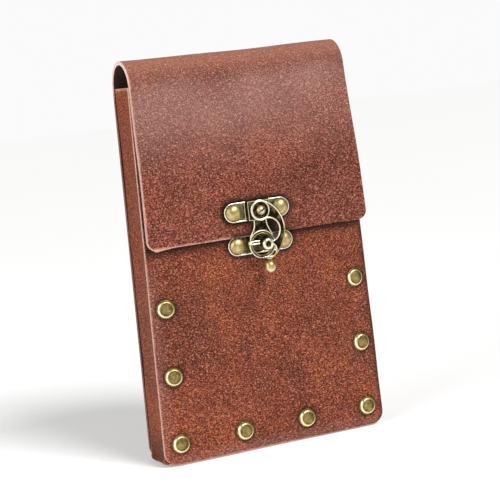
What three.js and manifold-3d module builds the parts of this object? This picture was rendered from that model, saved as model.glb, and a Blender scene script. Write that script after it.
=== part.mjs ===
// Medieval belt pouch: a flat leather pouch with a flap, a riveted gusset, two belt loops and a
// swinging lever clasp. Millimetres, +Z up, the front faces -Y. The origin is the middle of the belt
// passage behind the pouch. Inside the group, z = 0 is the lower edge and y = 0 the front panel's face.

import * as THREE from 'three';
import { mergeVertices } from 'three/addons/utils/BufferGeometryUtils.js';
import Module from 'manifold-3d';

// Body
const PANEL_WIDTH_BOTTOM = 135;
const PANEL_WIDTH_TOP = 127;
const PANEL_HEIGHT = 207;
const PANEL_CORNER = 8;
const BODY_DEPTH = 27;
const LEATHER = 2;
const GUSSET_LEATHER = 1.8;
const GUSSET_SETBACK = 0.8;
const GUSSET_FOLD = 2.4;
const GUSSET_CORNER = 3;
const PANEL_CROWN = 1.8;
const GAP = 0.3;

// Flap
const FLAP_DROP = 87.5;
const FLAP_FLARE = 6.5;
const FLAP_CORNER = 7.5;
const FLAP_FLAT = 26;
const FLAP_STANDOFF = 2;

// Rivets
const RIVET_PITCH = 37.5;
const RIVET_BOTTOM = 11.3;
const RIVET_SIDE_BOTTOM = 10;
const RIVET_SIDE_TOP = 6;
const RIVET_TOP_MARGIN = 40;
const RIVET_CAP_RADIUS = 5;
const RIVET_CAP_HEIGHT = 2;
const RIVET_SHANK_RADIUS = 1.7;
const RIVET_BACK_RADIUS = 3.8;
const RIVET_BACK_HEIGHT = 0.7;
const FLANGE_MARGIN = 2;

// Belt loops
const BELT_WIDTH = 48;
const BELT_SPACE = 6;
const LOOP_TOP_MARGIN = 1;
const LOOP_WIDTH = 25;
const LOOP_RIVET_CLEARANCE = 4;
const LOOP_TAB = 14;
const LOOP_RAMP = 4;

// Clasp
const CLASP_PLATE_HEIGHT = 11;
const CLASP_PLATE_THICKNESS = 1.2;
const CLASP_RIM = 0.8;
const CLASP_RECESS = 0.4;
const CLASP_SETBACK = 8.3;
const CLASP_X = -0.5;
const BOSS_SPREAD = 14;
const BOSS_RADIUS = 4.7;
const BOSS_HEIGHT = 2.6;
const BOSS_SHANK_RADIUS = 1.4;
const BOSS_BACK_RADIUS = 2.6;
const BOSS_BACK_HEIGHT = 0.6;
const BOSS_EDGE_CLEARANCE = 0.35;
const PAD_WIDTH = 13.4;
const PAD_HEIGHT = 3;
const TONGUE_WIDTH = 7;
const STUD_OFFSET = 1.8;
const STUD_NECK_RADIUS = 1.7;
const STUD_HEAD_RADIUS = 3.1;
const STUD_HEAD_HEIGHT = 1.6;
const STUD_DIMPLE_RADIUS = 1.4;
const STUD_DIMPLE_DEPTH = 0.6;
const HASP_RADIUS = 8.3;
const HASP_HOLE_RADIUS = 6.2;
const BAR_WIDTH = 2;
const BAR_BEAD_RADIUS = 1.4;
const LEVER_THICKNESS = 1.8;
const LEVER_HEAD_RADIUS = 5.4;
const LEVER_BALL_RADIUS = 3.1;
const LEVER_RIM = 0.7;
const PIVOT_RADIUS = 1.6;
const PIVOT_CAP_RADIUS = 2.9;
const PIVOT_CAP_HEIGHT = 1.6;

// Numbers of facets
const RIVET_SIDES = 10;
const BOSS_SIDES = 12;
const CORNER_STEPS = 4;
const ARCH_STEPS = 12;

// Places worked out from the sizes above, y growing into the pouch
const backFaceY = BODY_DEPTH;
const backInnerY = BODY_DEPTH - LEATHER;
const gussetFrontY = LEATHER + GAP;
const gussetBackY = backInnerY - GAP;
const flapInnerY = -(PANEL_CROWN + FLAP_STANDOFF);
const flapOuterY = flapInnerY - LEATHER;
const archClearanceY = -(GAP + LEATHER);
const archRadius = (backFaceY - archClearanceY) / 2;
const archCentreY = (backFaceY + archClearanceY) / 2;
const flapBottomZ = PANEL_HEIGHT - FLAP_DROP;
const beltCentreY = backFaceY + GAP + BELT_SPACE / 2;
const loopHalfHeight = BELT_WIDTH / 2 + LOOP_RAMP;
const beltZ = PANEL_HEIGHT - LOOP_TOP_MARGIN - LOOP_TAB - loopHalfHeight;
const loopX = rivetXAt(beltZ) - RIVET_CAP_RADIUS - LOOP_RIVET_CLEARANCE - LOOP_WIDTH / 2;

// Levels of the clasp, each one standing off the level below it
const lowerPlateBackY = -(PANEL_CROWN + GAP);
const lowerPlateFrontY = lowerPlateBackY - CLASP_PLATE_THICKNESS;
const upperPlateBackY = flapOuterY - GAP;
const upperPlateFrontY = upperPlateBackY - CLASP_PLATE_THICKNESS;
const padFrontY = upperPlateFrontY - PAD_HEIGHT;
const leverBackY = padFrontY - GAP;
const leverFrontY = leverBackY - LEVER_THICKNESS;
const capBackY = leverFrontY - GAP;
const pivotZ = flapBottomZ + CLASP_SETBACK + CLASP_PLATE_HEIGHT / 2;
const studZ = flapBottomZ - BOSS_RADIUS - BOSS_EDGE_CLEARANCE;
const studX = CLASP_X + STUD_OFFSET;
const studDrop = pivotZ - studZ;

const materials = {
  panel: { color: 0x84482f, roughness: 0.62, metalness: 0 },
  flap: { color: 0x8a5042, roughness: 0.6, metalness: 0 },
  gusset: { color: 0x9a5638, roughness: 0.65, metalness: 0 },
  loop: { color: 0x7a4530, roughness: 0.65, metalness: 0 },
  rivet: { color: 0xa08a52, roughness: 0.35, metalness: 1 },
  clasp: { color: 0x6f6140, roughness: 0.42, metalness: 1 },
};

const wasm = await Module();
wasm.setup();

// A copy with only positions, shared corners merged and triangles of no area dropped
function welded(geometry) {
  const plain = geometry.clone();
  plain.deleteAttribute('normal');
  plain.deleteAttribute('uv');
  const merged = mergeVertices(plain, 1e-4);
  const corners = merged.index.array;
  const kept = [];
  for (let i = 0; i < corners.length; i += 3) {
    const [a, b, c] = [corners[i], corners[i + 1], corners[i + 2]];
    if (a !== b && b !== c && c !== a) kept.push(a, b, c);
  }
  merged.setIndex(kept);
  return merged;
}

function solid(geometry) {
  const plain = welded(geometry);
  return new wasm.Manifold(new wasm.Mesh({
    numProp: 3,
    vertProperties: new Float32Array(plain.getAttribute('position').array),
    triVerts: new Uint32Array(plain.index.array),
  }));
}

function geometryOf(body) {
  const mesh = body.getMesh();
  const geometry = new THREE.BufferGeometry();
  geometry.setAttribute('position', new THREE.BufferAttribute(mesh.vertProperties, 3));
  geometry.setIndex(new THREE.BufferAttribute(mesh.triVerts, 1));
  return geometry;
}

// A flat outline drawn in x and z, made solid between two levels of y, with its edges rounded by `fold`
function prism(outline, nearY, farY, fold = 0, foldSteps = 2, curveSteps = 5) {
  const geometry = new THREE.ExtrudeGeometry(outline, {
    depth: farY - nearY - 2 * fold,
    bevelEnabled: fold > 0,
    bevelThickness: fold,
    bevelSize: fold,
    bevelOffset: -fold,
    bevelSegments: foldSteps,
    curveSegments: curveSteps,
  });
  geometry.rotateX(Math.PI / 2);
  geometry.translate(0, farY - fold, 0);
  return solid(geometry);
}

// A turned body about the y axis from [radius, y] pairs that start and end on the axis, near end first
function turned(profile, sides) {
  const points = profile.map(([radius, y]) => new THREE.Vector2(radius, y));
  return new THREE.LatheGeometry(points, sides);
}

function ball(radius, x, y, z) {
  const geometry = new THREE.SphereGeometry(radius, 12, 8);
  geometry.translate(x, y, z);
  return solid(geometry);
}

function rectangle(left, right, low, high) {
  const outline = new THREE.Shape();
  outline.moveTo(left, low);
  outline.lineTo(right, low);
  outline.lineTo(right, high);
  outline.lineTo(left, high);
  return outline;
}

function disc(radius, x = 0, z = 0) {
  const outline = new THREE.Shape();
  outline.absarc(x, z, radius, 0, 2 * Math.PI, false);
  return outline;
}

// A bar with half round ends
function stadium(spread, radius, x = 0, z = 0) {
  const outline = new THREE.Shape();
  outline.absarc(x + spread, z, radius, -Math.PI / 2, Math.PI / 2, false);
  outline.absarc(x - spread, z, radius, Math.PI / 2, 1.5 * Math.PI, false);
  return outline;
}

function panelHalfWidth(z) {
  return THREE.MathUtils.lerp(PANEL_WIDTH_BOTTOM, PANEL_WIDTH_TOP, z / PANEL_HEIGHT) / 2;
}

// How far a rounded corner of the given radius cuts in at a distance from the edge
function cornerCut(distance, radius) {
  if (distance >= radius) return 0;
  return radius - Math.sqrt(radius * radius - (radius - distance) ** 2);
}

// Distances from an edge at which a rounded corner gets a row
function cornerDistances(radius) {
  const distances = [];
  for (let step = 0; step <= CORNER_STEPS; step += 1) {
    distances.push(radius * (1 - Math.cos((step / CORNER_STEPS) * (Math.PI / 2))));
  }
  return distances;
}

// A sheet of leather. Each row has its place on the grain side in y and z, the way out of that side,
// and half a width. Each column is a share of that half width, in the order that puts the way out
// before the eye as the columns run right and the rows run up. `raise` lifts the sheet outward.
function sheet(rows, columns, thickness, raise = () => 0) {
  const wide = columns.length;
  const positions = [];
  for (const depth of [0, thickness]) {
    for (const row of rows) {
      for (const share of columns) {
        const x = row.half * share;
        const offset = raise(x, row) - depth;
        positions.push(x, row.y + row.outY * offset, row.z + row.outZ * offset);
      }
    }
  }
  const back = rows.length * wide;
  const faces = [];
  const quad = (a, b, c, d) => faces.push(a, b, c, a, c, d);
  for (let r = 0; r + 1 < rows.length; r += 1) {
    for (let c = 0; c + 1 < wide; c += 1) {
      const i = r * wide + c;
      quad(i, i + 1, i + wide + 1, i + wide);
      quad(back + i, back + i + wide, back + i + wide + 1, back + i + 1);
    }
    const left = r * wide;
    const right = left + wide - 1;
    quad(left, left + wide, back + left + wide, back + left);
    quad(right, back + right, back + right + wide, right + wide);
  }
  const last = (rows.length - 1) * wide;
  for (let c = 0; c + 1 < wide; c += 1) {
    quad(c, back + c, back + c + 1, c + 1);
    quad(last + c, last + c + 1, back + last + c + 1, back + last + c);
  }
  const geometry = new THREE.BufferGeometry();
  geometry.setAttribute('position', new THREE.Float32BufferAttribute(positions, 3));
  geometry.setIndex(faces);
  return solid(geometry);
}

// Rows along a line of (y, z) points. The way out lies to the right of the line's run, and at a bend
// it is lengthened so that the sheet keeps its thickness.
function rowsAlong(points, halfAt) {
  const runs = points.slice(1).map((point, i) => point.clone().sub(points[i]).normalize());
  return points.map((point, i) => {
    const into = runs[Math.max(i - 1, 0)];
    const from = runs[Math.min(i, runs.length - 1)];
    const way = into.clone().add(from).normalize();
    const stretch = 1 / way.dot(from);
    return {
      y: point.x,
      z: point.y,
      outY: way.y * stretch,
      outZ: -way.x * stretch,
      half: halfAt(point.y, i),
    };
  });
}

function smooth(low, high, value) {
  return THREE.MathUtils.smoothstep(value, low, high);
}

// How far from the middle the side rivets stand at a height
function rivetXAt(z) {
  const side = THREE.MathUtils.lerp(RIVET_SIDE_BOTTOM, RIVET_SIDE_TOP, z / PANEL_HEIGHT);
  return panelHalfWidth(z) - side;
}

// Heights of the rivets up each side
function rivetHeights() {
  const heights = [];
  for (let z = RIVET_BOTTOM; z <= PANEL_HEIGHT - RIVET_TOP_MARGIN; z += RIVET_PITCH) heights.push(z);
  return heights;
}

// Places of the rivets round the two sides and along the bottom, left side from the top first
function rivetPlaces() {
  const heights = rivetHeights();
  const places = heights.slice().reverse().map((z) => [-rivetXAt(z), z]);
  const cornerX = rivetXAt(RIVET_BOTTOM);
  const spaces = Math.round((2 * cornerX) / RIVET_PITCH);
  for (let i = 1; i < spaces; i += 1) places.push([-cornerX + (2 * cornerX * i) / spaces, RIVET_BOTTOM]);
  for (const z of heights) places.push([rivetXAt(z), z]);
  return places;
}

// Round holes for shanks, straight through from nearY to farY
function holes(places, shankRadius, nearY, farY, sides = RIVET_SIDES) {
  const radius = (shankRadius + GAP) / Math.cos(Math.PI / sides);
  const drill = solid(turned([[0, nearY], [radius, nearY], [radius, farY], [0, farY]], sides));
  return places.map(([x, z]) => drill.translate([x, 0, z])).reduce((all, one) => all.add(one));
}

// A capped rivet with its cap towards -y: the cap's underside lies at y = 0, the shank is `grip` long
function rivet(grip) {
  const edge = RIVET_CAP_HEIGHT * 0.4;
  return turned([
    [0, -RIVET_CAP_HEIGHT],
    [RIVET_CAP_RADIUS * 0.74, -RIVET_CAP_HEIGHT],
    [RIVET_CAP_RADIUS, -edge],
    [RIVET_CAP_RADIUS, 0],
    [RIVET_SHANK_RADIUS, 0],
    [RIVET_SHANK_RADIUS, grip],
    [RIVET_BACK_RADIUS, grip],
    [RIVET_BACK_RADIUS, grip + RIVET_BACK_HEIGHT],
    [0, grip + RIVET_BACK_HEIGHT],
  ], RIVET_SIDES);
}

// Front panel: a plate with a low crown between the rivets
function frontPanel() {
  const heights = [...cornerDistances(PANEL_CORNER)];
  const crownRows = [0.09, 0.14, 0.2, 0.72, 0.79, 0.87, 0.94, 1];
  for (const share of crownRows) heights.push(share * PANEL_HEIGHT);
  const rows = heights.map((z) => ({
    y: 0, z, outY: -1, outZ: 0, half: panelHalfWidth(z) - cornerCut(z, PANEL_CORNER),
  }));
  const columns = [-1, -0.73, -0.64, -0.54, -0.44, 0.44, 0.54, 0.64, 0.73, 1];
  const crown = (x, row) => {
    const across = 1 - smooth(0.44, 0.72, Math.abs(x) / (PANEL_WIDTH_BOTTOM / 2));
    const share = row.z / PANEL_HEIGHT;
    return PANEL_CROWN * across * smooth(0.08, 0.2, share) * (1 - smooth(0.72, 0.94, share));
  };
  const bossPlaces = [-BOSS_SPREAD, BOSS_SPREAD].map((x) => [studX + x, studZ]);
  return sheet(rows, columns, LEATHER, crown)
    .subtract(holes(rivetPlaces(), RIVET_SHANK_RADIUS, -LEATHER, 2 * LEATHER))
    .subtract(holes(bossPlaces, BOSS_SHANK_RADIUS, -PANEL_CROWN - LEATHER, 2 * LEATHER));
}

// Back and flap in one sheet: up the back, round the arch over the mouth and down the front
function backFlap() {
  const line = new THREE.Path();
  line.moveTo(backFaceY, 0);
  for (const z of cornerDistances(PANEL_CORNER).slice(1)) line.lineTo(backFaceY, z);
  line.lineTo(backFaceY, PANEL_HEIGHT);
  line.absarc(archCentreY, PANEL_HEIGHT, archRadius, 0, Math.PI, false);
  const flatTopZ = flapBottomZ + FLAP_FLAT;
  const lean = (PANEL_HEIGHT - flatTopZ) / 3;
  line.bezierCurveTo(
    archClearanceY, PANEL_HEIGHT - lean,
    flapOuterY, flatTopZ + lean,
    flapOuterY, flatTopZ,
  );
  for (const z of cornerDistances(FLAP_CORNER).reverse()) line.lineTo(flapOuterY, flapBottomZ + z);
  const points = line.getPoints(ARCH_STEPS).filter((p, i, all) => i === 0 || p.distanceTo(all[i - 1]) > 1e-3);
  const halfAt = (z, i) => {
    if (i > points.length / 2) {
      const flare = FLAP_FLARE * (PANEL_HEIGHT - Math.min(z, PANEL_HEIGHT)) / FLAP_DROP;
      return (PANEL_WIDTH_TOP + flare) / 2 - cornerCut(z - flapBottomZ, FLAP_CORNER);
    }
    return panelHalfWidth(Math.min(z, PANEL_HEIGHT)) - cornerCut(z, PANEL_CORNER);
  };
  const columns = [1, 0.5, 0, -0.5, -1];
  const loopPlaces = loopRivetPlaces();
  const bossPlaces = [-BOSS_SPREAD, BOSS_SPREAD].map((x) => [CLASP_X + x, pivotZ]);
  return sheet(rowsAlong(points, halfAt), columns, LEATHER)
    .subtract(holes(rivetPlaces(), RIVET_SHANK_RADIUS, backInnerY - LEATHER, backFaceY + LEATHER))
    .subtract(holes(loopPlaces, RIVET_SHANK_RADIUS, backInnerY - LEATHER, backFaceY + LEATHER))
    .subtract(holes(bossPlaces, BOSS_SHANK_RADIUS, flapOuterY - LEATHER, flapInnerY + LEATHER));
}

// Outline of the pouch from the front, drawn in by `inset`, up to `topZ`
function bodyOutline(inset, bottomInset, corner, topZ) {
  const radius = Math.max(corner, 0.5);
  const low = bottomInset;
  const side = (z) => panelHalfWidth(z) - inset;
  const outline = new THREE.Shape();
  outline.moveTo(side(topZ), topZ);
  outline.lineTo(-side(topZ), topZ);
  outline.lineTo(-side(low + radius), low + radius);
  outline.absarc(-side(low + radius) + radius, low + radius, radius, Math.PI, 1.5 * Math.PI, false);
  outline.lineTo(side(low + radius) - radius, low);
  outline.absarc(side(low + radius) - radius, low + radius, radius, -Math.PI / 2, 0, false);
  return outline;
}

// Gusset: a strip round the sides and the bottom, folded to a flange behind each panel
function gusset() {
  const over = PANEL_HEIGHT + BODY_DEPTH;
  const wallInset = GUSSET_SETBACK + GUSSET_LEATHER;
  const innerFold = Math.max(GUSSET_FOLD - GUSSET_LEATHER, 0.2);
  const sideFlange = RIVET_SIDE_BOTTOM + RIVET_BACK_RADIUS + FLANGE_MARGIN;
  const bottomFlange = RIVET_BOTTOM + RIVET_BACK_RADIUS + FLANGE_MARGIN;
  const outer = bodyOutline(GUSSET_SETBACK, GUSSET_SETBACK, GUSSET_CORNER, over);
  const inner = bodyOutline(wallInset, wallInset, GUSSET_CORNER - GUSSET_LEATHER, over + LEATHER);
  const window = bodyOutline(sideFlange, bottomFlange, LEATHER, over + LEATHER);
  const shell = prism(outer, gussetFrontY, gussetBackY, GUSSET_FOLD, 2, 3);
  const wallFrontY = gussetFrontY + GUSSET_LEATHER;
  const wallBackY = gussetBackY - GUSSET_LEATHER;
  const hollow = prism(inner, wallFrontY, wallBackY, innerFold, 1, 3);
  const opening = prism(window, -BODY_DEPTH, 2 * BODY_DEPTH, 0, 1, 2);
  const reach = PANEL_WIDTH_BOTTOM + PANEL_WIDTH_TOP;
  const above = prism(rectangle(-reach, reach, PANEL_HEIGHT, 2 * over), -BODY_DEPTH, 2 * BODY_DEPTH);
  return shell
    .subtract(hollow)
    .subtract(opening)
    .subtract(above)
    .subtract(holes(rivetPlaces(), RIVET_SHANK_RADIUS, -LEATHER, BODY_DEPTH + LEATHER));
}

function loopRivetPlaces() {
  const rise = loopHalfHeight + LOOP_TAB / 2;
  const places = [];
  for (const x of [-loopX, loopX]) {
    for (const z of [beltZ - rise, beltZ + rise]) places.push([x, z]);
  }
  return places;
}

// Belt loop: a strap with a flat tab at each end that stands off the back between them
function beltLoop() {
  const tabY = backFaceY + GAP + LEATHER;
  const spanY = tabY + BELT_SPACE;
  const half = loopHalfHeight;
  const bend = LOOP_RAMP / 2;
  const line = new THREE.Path();
  line.moveTo(tabY, -half - LOOP_TAB);
  line.lineTo(tabY, -half - bend);
  line.quadraticCurveTo(tabY, -half, tabY + BELT_SPACE / 2, -half + bend);
  line.quadraticCurveTo(spanY, -half + LOOP_RAMP, spanY, -half + LOOP_RAMP + bend);
  line.lineTo(spanY, half - LOOP_RAMP - bend);
  line.quadraticCurveTo(spanY, half - LOOP_RAMP, tabY + BELT_SPACE / 2, half - bend);
  line.quadraticCurveTo(tabY, half, tabY, half + bend);
  line.lineTo(tabY, half + LOOP_TAB);
  const points = line.getPoints(3);
  const loopHoles = loopRivetPlaces().slice(0, 2).map(([, z]) => [0, z - beltZ]);
  return sheet(rowsAlong(points, () => LOOP_WIDTH / 2), [1, -1], LEATHER)
    .subtract(holes(loopHoles, RIVET_SHANK_RADIUS, backFaceY - LEATHER, tabY + LEATHER));
}

// A clasp rivet with a high dome towards -y; the dome's underside lies at y = 0
function boss(grip) {
  const profile = [];
  for (let step = 0; step <= 3; step += 1) {
    const angle = (step / 3) * (Math.PI / 2);
    profile.push([BOSS_RADIUS * Math.sin(angle), -BOSS_HEIGHT * Math.cos(angle)]);
  }
  profile.push([BOSS_SHANK_RADIUS, 0]);
  profile.push([BOSS_SHANK_RADIUS, grip]);
  profile.push([BOSS_BACK_RADIUS, grip]);
  profile.push([BOSS_BACK_RADIUS, grip + BOSS_BACK_HEIGHT]);
  profile.push([0, grip + BOSS_BACK_HEIGHT]);
  return turned(profile, BOSS_SIDES);
}

// A clasp plate with half round ends and a raised rim, drawn about its middle
function claspPlate(backY, frontY, x, z) {
  const radius = CLASP_PLATE_HEIGHT / 2;
  const plate = prism(stadium(BOSS_SPREAD, radius, x, z), frontY, backY);
  const recess = prism(stadium(BOSS_SPREAD, radius - CLASP_RIM, x, z), frontY - 1, frontY + CLASP_RECESS);
  const places = [[x - BOSS_SPREAD, z], [x + BOSS_SPREAD, z]];
  return plate
    .subtract(recess)
    .subtract(holes(places, BOSS_SHANK_RADIUS, frontY - 1, backY + 1, BOSS_SIDES));
}

// Upper plate with its pad, tongue, hasp ring, bar and bead, drawn about the pivot
function claspUpperPlate() {
  const half = PAD_WIDTH / 2;
  const rise = CLASP_PLATE_HEIGHT / 2;
  const pad = prism(rectangle(-half, half, -rise, rise), padFrontY, upperPlateBackY, 0.4, 1);
  const tongueHalf = TONGUE_WIDTH / 2;
  const tongueEnd = -studDrop + (HASP_RADIUS + HASP_HOLE_RADIUS) / 2;
  const tongueOutline = rectangle(-tongueHalf, tongueHalf, tongueEnd, -rise / 2);
  const tongue = prism(tongueOutline, upperPlateFrontY, upperPlateBackY);
  const ringDisc = disc(HASP_RADIUS, STUD_OFFSET, -studDrop);
  const eyeDisc = disc(HASP_HOLE_RADIUS, STUD_OFFSET, -studDrop);
  const ring = prism(ringDisc, upperPlateFrontY, upperPlateBackY, 0.3, 1, 9);
  const eye = prism(eyeDisc, upperPlateFrontY - 1, upperPlateBackY + 1, 0, 1, 9);
  const beadX = STUD_OFFSET - HASP_RADIUS;
  const barZ = -studDrop + BAR_WIDTH / 2;
  const barEnd = STUD_OFFSET - STUD_HEAD_RADIUS - GAP;
  const bar = prism(
    rectangle(beadX + BAR_BEAD_RADIUS / 2, barEnd, barZ - BAR_WIDTH / 2, barZ + BAR_WIDTH / 2),
    upperPlateFrontY - BAR_BEAD_RADIUS / 2,
    upperPlateBackY,
  );
  const bead = ball(BAR_BEAD_RADIUS, beadX, upperPlateFrontY, barZ);
  const pin = holes([[0, 0]], PIVOT_RADIUS, padFrontY - 1, upperPlateBackY + 1, BOSS_SIDES);
  return claspPlate(upperPlateBackY, upperPlateFrontY, 0, 0)
    .add(pad)
    .add(tongue)
    .add(ring)
    .subtract(eye)
    .add(bar)
    .add(bead)
    .subtract(pin);
}

// Lower plate with the keeper stud, drawn about the stud
function claspLowerPlate() {
  const front = capBackY - STUD_HEAD_HEIGHT;
  const stud = solid(turned([
    [0, front + STUD_DIMPLE_DEPTH],
    [STUD_DIMPLE_RADIUS, front],
    [STUD_HEAD_RADIUS * 0.85, front],
    [STUD_HEAD_RADIUS, front + STUD_HEAD_HEIGHT * 0.4],
    [STUD_HEAD_RADIUS, capBackY],
    [STUD_NECK_RADIUS, capBackY],
    [STUD_NECK_RADIUS, lowerPlateBackY - CLASP_PLATE_THICKNESS / 4],
    [0, lowerPlateBackY - CLASP_PLATE_THICKNESS / 4],
  ], BOSS_SIDES));
  return claspPlate(lowerPlateBackY, lowerPlateFrontY, 0, 0).add(stud);
}

// Crescent of the lever about the pivot: one wide arc outside, two round lobes cut in from the inside
// that leave a blunt cusp between them. Its lengths are shares of the drop from pivot to stud.
function crescent(nearY, farY, inset) {
  const drop = studDrop;
  const outer = { x: -0.24 * drop, z: -0.6 * drop, radius: 0.93 * drop - inset };
  const upper = { x: 0.19 * drop, z: -0.6 * drop, radius: 0.36 * drop + inset };
  const lower = { x: 0.175 * drop, z: -1.19 * drop, radius: 0.2 * drop + inset };
  const headAngle = 1.1;
  const tailAngle = -1.15;
  const blank = new THREE.Shape();
  blank.moveTo(0, LEVER_HEAD_RADIUS * 0.6);
  blank.absarc(outer.x, outer.z, outer.radius, headAngle, tailAngle, true);
  blank.lineTo(0.06 * drop + inset / 2, -1.42 * drop + inset);
  blank.lineTo(0.25 * drop + inset, -0.98 * drop);
  blank.lineTo(0, -LEVER_HEAD_RADIUS * 0.6);
  const [upperLobe, lowerLobe] = [upper, lower].map(
    (lobe) => prism(disc(lobe.radius, lobe.x, lobe.z), nearY - 1, farY + 1, 0, 1, 12),
  );
  return prism(blank, nearY, farY, 0, 1, 10).subtract(upperLobe).subtract(lowerLobe);
}

// Lever: head, crescent, a tooth that catches the stud's neck, and a ball at the tail
function claspLever() {
  const dishY = leverFrontY + CLASP_RECESS;
  const head = prism(disc(LEVER_HEAD_RADIUS), leverFrontY, leverBackY, 0, 1, 10);
  const dish = prism(disc(LEVER_HEAD_RADIUS - LEVER_RIM), leverFrontY - 1, dishY, 0, 1, 10);
  const trough = crescent(leverFrontY - 1, dishY, LEVER_RIM);
  const toothEnd = STUD_OFFSET + STUD_NECK_RADIUS + GAP;
  const tooth = prism(
    rectangle(toothEnd, 0.36 * studDrop, -studDrop - 0.4, -studDrop + 1.2),
    leverFrontY,
    leverBackY,
  );
  const middleY = (leverFrontY + leverBackY) / 2;
  const ballX = 0.12 * studDrop;
  const ballZ = -1.64 * studDrop;
  const tailBall = ball(LEVER_BALL_RADIUS, ballX, middleY, ballZ);
  const neckHalf = LEVER_THICKNESS * 0.6;
  const neck = prism(
    rectangle(ballX - neckHalf, ballX + neckHalf, ballZ, -1.4 * studDrop),
    leverFrontY,
    leverBackY,
  );
  const pin = holes([[0, 0]], PIVOT_RADIUS, leverFrontY - 1, leverBackY + 1, BOSS_SIDES);
  return crescent(leverFrontY, leverBackY, 0)
    .add(head)
    .subtract(trough)
    .subtract(dish)
    .add(tooth)
    .add(neck)
    .add(tailBall)
    .subtract(pin);
}

// Pivot: a domed cap on a pin that ends level with the back of the upper plate
function claspPivot() {
  return turned([
    [0, capBackY - PIVOT_CAP_HEIGHT],
    [PIVOT_CAP_RADIUS * 0.5, capBackY - PIVOT_CAP_HEIGHT * 0.86],
    [PIVOT_CAP_RADIUS * 0.87, capBackY - PIVOT_CAP_HEIGHT * 0.5],
    [PIVOT_CAP_RADIUS, capBackY],
    [PIVOT_RADIUS, capBackY],
    [PIVOT_RADIUS, upperPlateBackY],
    [0, upperPlateBackY],
  ], BOSS_SIDES);
}

const pouch = new THREE.Group();
pouch.position.set(0, -beltCentreY, -beltZ);

function place(name, geometry, finish, x = 0, y = 0, z = 0) {
  const mesh = new THREE.Mesh(geometry, new THREE.MeshStandardMaterial(materials[finish]));
  mesh.name = name;
  mesh.position.set(x, y, z);
  pouch.add(mesh);
  return mesh;
}

place('front_panel', geometryOf(frontPanel()), 'panel');
place('back_flap', geometryOf(backFlap()), 'flap');
place('gusset', geometryOf(gusset()), 'gusset');
place('belt_loop_left', geometryOf(beltLoop()), 'loop', -loopX, 0, beltZ);
place('belt_loop_right', geometryOf(beltLoop()), 'loop', loopX, 0, beltZ);

// The front rivets clamp the panel to the front flange, the back ones the back to the back flange
const flangeGrip = LEATHER + GUSSET_LEATHER + 3 * GAP;
rivetPlaces().forEach(([x, z], i) => {
  place(`front_rivet_${i + 1}`, rivet(flangeGrip), 'rivet', x, -GAP, z);
  const back = place(`back_rivet_${i + 1}`, rivet(flangeGrip), 'rivet', x, backFaceY + GAP, z);
  back.rotation.x = Math.PI;
});

const loopGrip = 2 * LEATHER + 3 * GAP;
loopRivetPlaces().forEach(([x, z], i) => {
  const back = place(`loop_rivet_${i + 1}`, rivet(loopGrip), 'rivet', x, backFaceY + 2 * GAP + LEATHER, z);
  back.rotation.x = Math.PI;
});

place('clasp_upper_plate', geometryOf(claspUpperPlate()), 'clasp', CLASP_X, 0, pivotZ);
place('clasp_lever', geometryOf(claspLever()), 'clasp', CLASP_X, 0, pivotZ);
place('clasp_pivot', claspPivot(), 'clasp', CLASP_X, 0, pivotZ);
place('clasp_lower_plate', geometryOf(claspLowerPlate()), 'clasp', studX, 0, studZ);

const bossGrip = CLASP_PLATE_THICKNESS + LEATHER + 3 * GAP;
for (const [side, x] of [['left', -BOSS_SPREAD], ['right', BOSS_SPREAD]]) {
  place(`clasp_boss_upper_${side}`, boss(bossGrip), 'clasp', CLASP_X + x, upperPlateFrontY - GAP, pivotZ);
  place(`clasp_boss_lower_${side}`, boss(bossGrip), 'clasp', studX + x, lowerPlateFrontY - GAP, studZ);
}

export default pouch;
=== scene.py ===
# %% [markdown]
# # A leather belt pouch with a swinging clasp
# The pouch is flat and stiff: two sheets of waxed leather, a folded strip between them, brass caps along
# the edges and a cast clasp that holds the flap down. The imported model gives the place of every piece,
# so it is loaded first, and each piece made below stands exactly where its plain solid stands.

# %% The frame
import math

import bpy
from mathutils import Matrix, Vector, noise


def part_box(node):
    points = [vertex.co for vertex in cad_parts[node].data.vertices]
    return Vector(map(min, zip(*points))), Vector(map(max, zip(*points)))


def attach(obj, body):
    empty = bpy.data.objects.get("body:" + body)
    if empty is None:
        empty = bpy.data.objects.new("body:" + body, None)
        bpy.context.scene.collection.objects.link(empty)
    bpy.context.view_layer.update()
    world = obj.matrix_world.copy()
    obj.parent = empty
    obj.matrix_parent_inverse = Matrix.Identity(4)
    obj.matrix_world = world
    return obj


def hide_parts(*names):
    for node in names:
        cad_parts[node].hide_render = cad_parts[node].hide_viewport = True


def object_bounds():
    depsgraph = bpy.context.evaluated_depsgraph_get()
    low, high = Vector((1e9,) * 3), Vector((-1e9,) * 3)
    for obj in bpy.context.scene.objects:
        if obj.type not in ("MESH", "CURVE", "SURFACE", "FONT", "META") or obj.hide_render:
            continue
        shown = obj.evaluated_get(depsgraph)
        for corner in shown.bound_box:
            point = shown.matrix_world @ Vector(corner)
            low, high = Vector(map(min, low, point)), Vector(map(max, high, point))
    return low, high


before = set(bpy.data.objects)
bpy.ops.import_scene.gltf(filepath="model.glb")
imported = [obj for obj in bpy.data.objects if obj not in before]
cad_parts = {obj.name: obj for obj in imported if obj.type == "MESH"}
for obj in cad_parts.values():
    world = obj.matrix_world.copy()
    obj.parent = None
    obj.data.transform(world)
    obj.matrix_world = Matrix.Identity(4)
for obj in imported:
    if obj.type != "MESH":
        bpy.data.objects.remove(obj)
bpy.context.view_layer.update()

# %% [markdown]
# ## Sizes
# A leather worker thinks in millimetres from the lower edge of the front panel, so the sizes below are
# in millimetres too. `at` carries such a point into the metres of the frame. x runs right, y runs into
# the pouch from the panel's face, and z runs up. `smooth` rises from 0 to 1 between two values.

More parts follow.
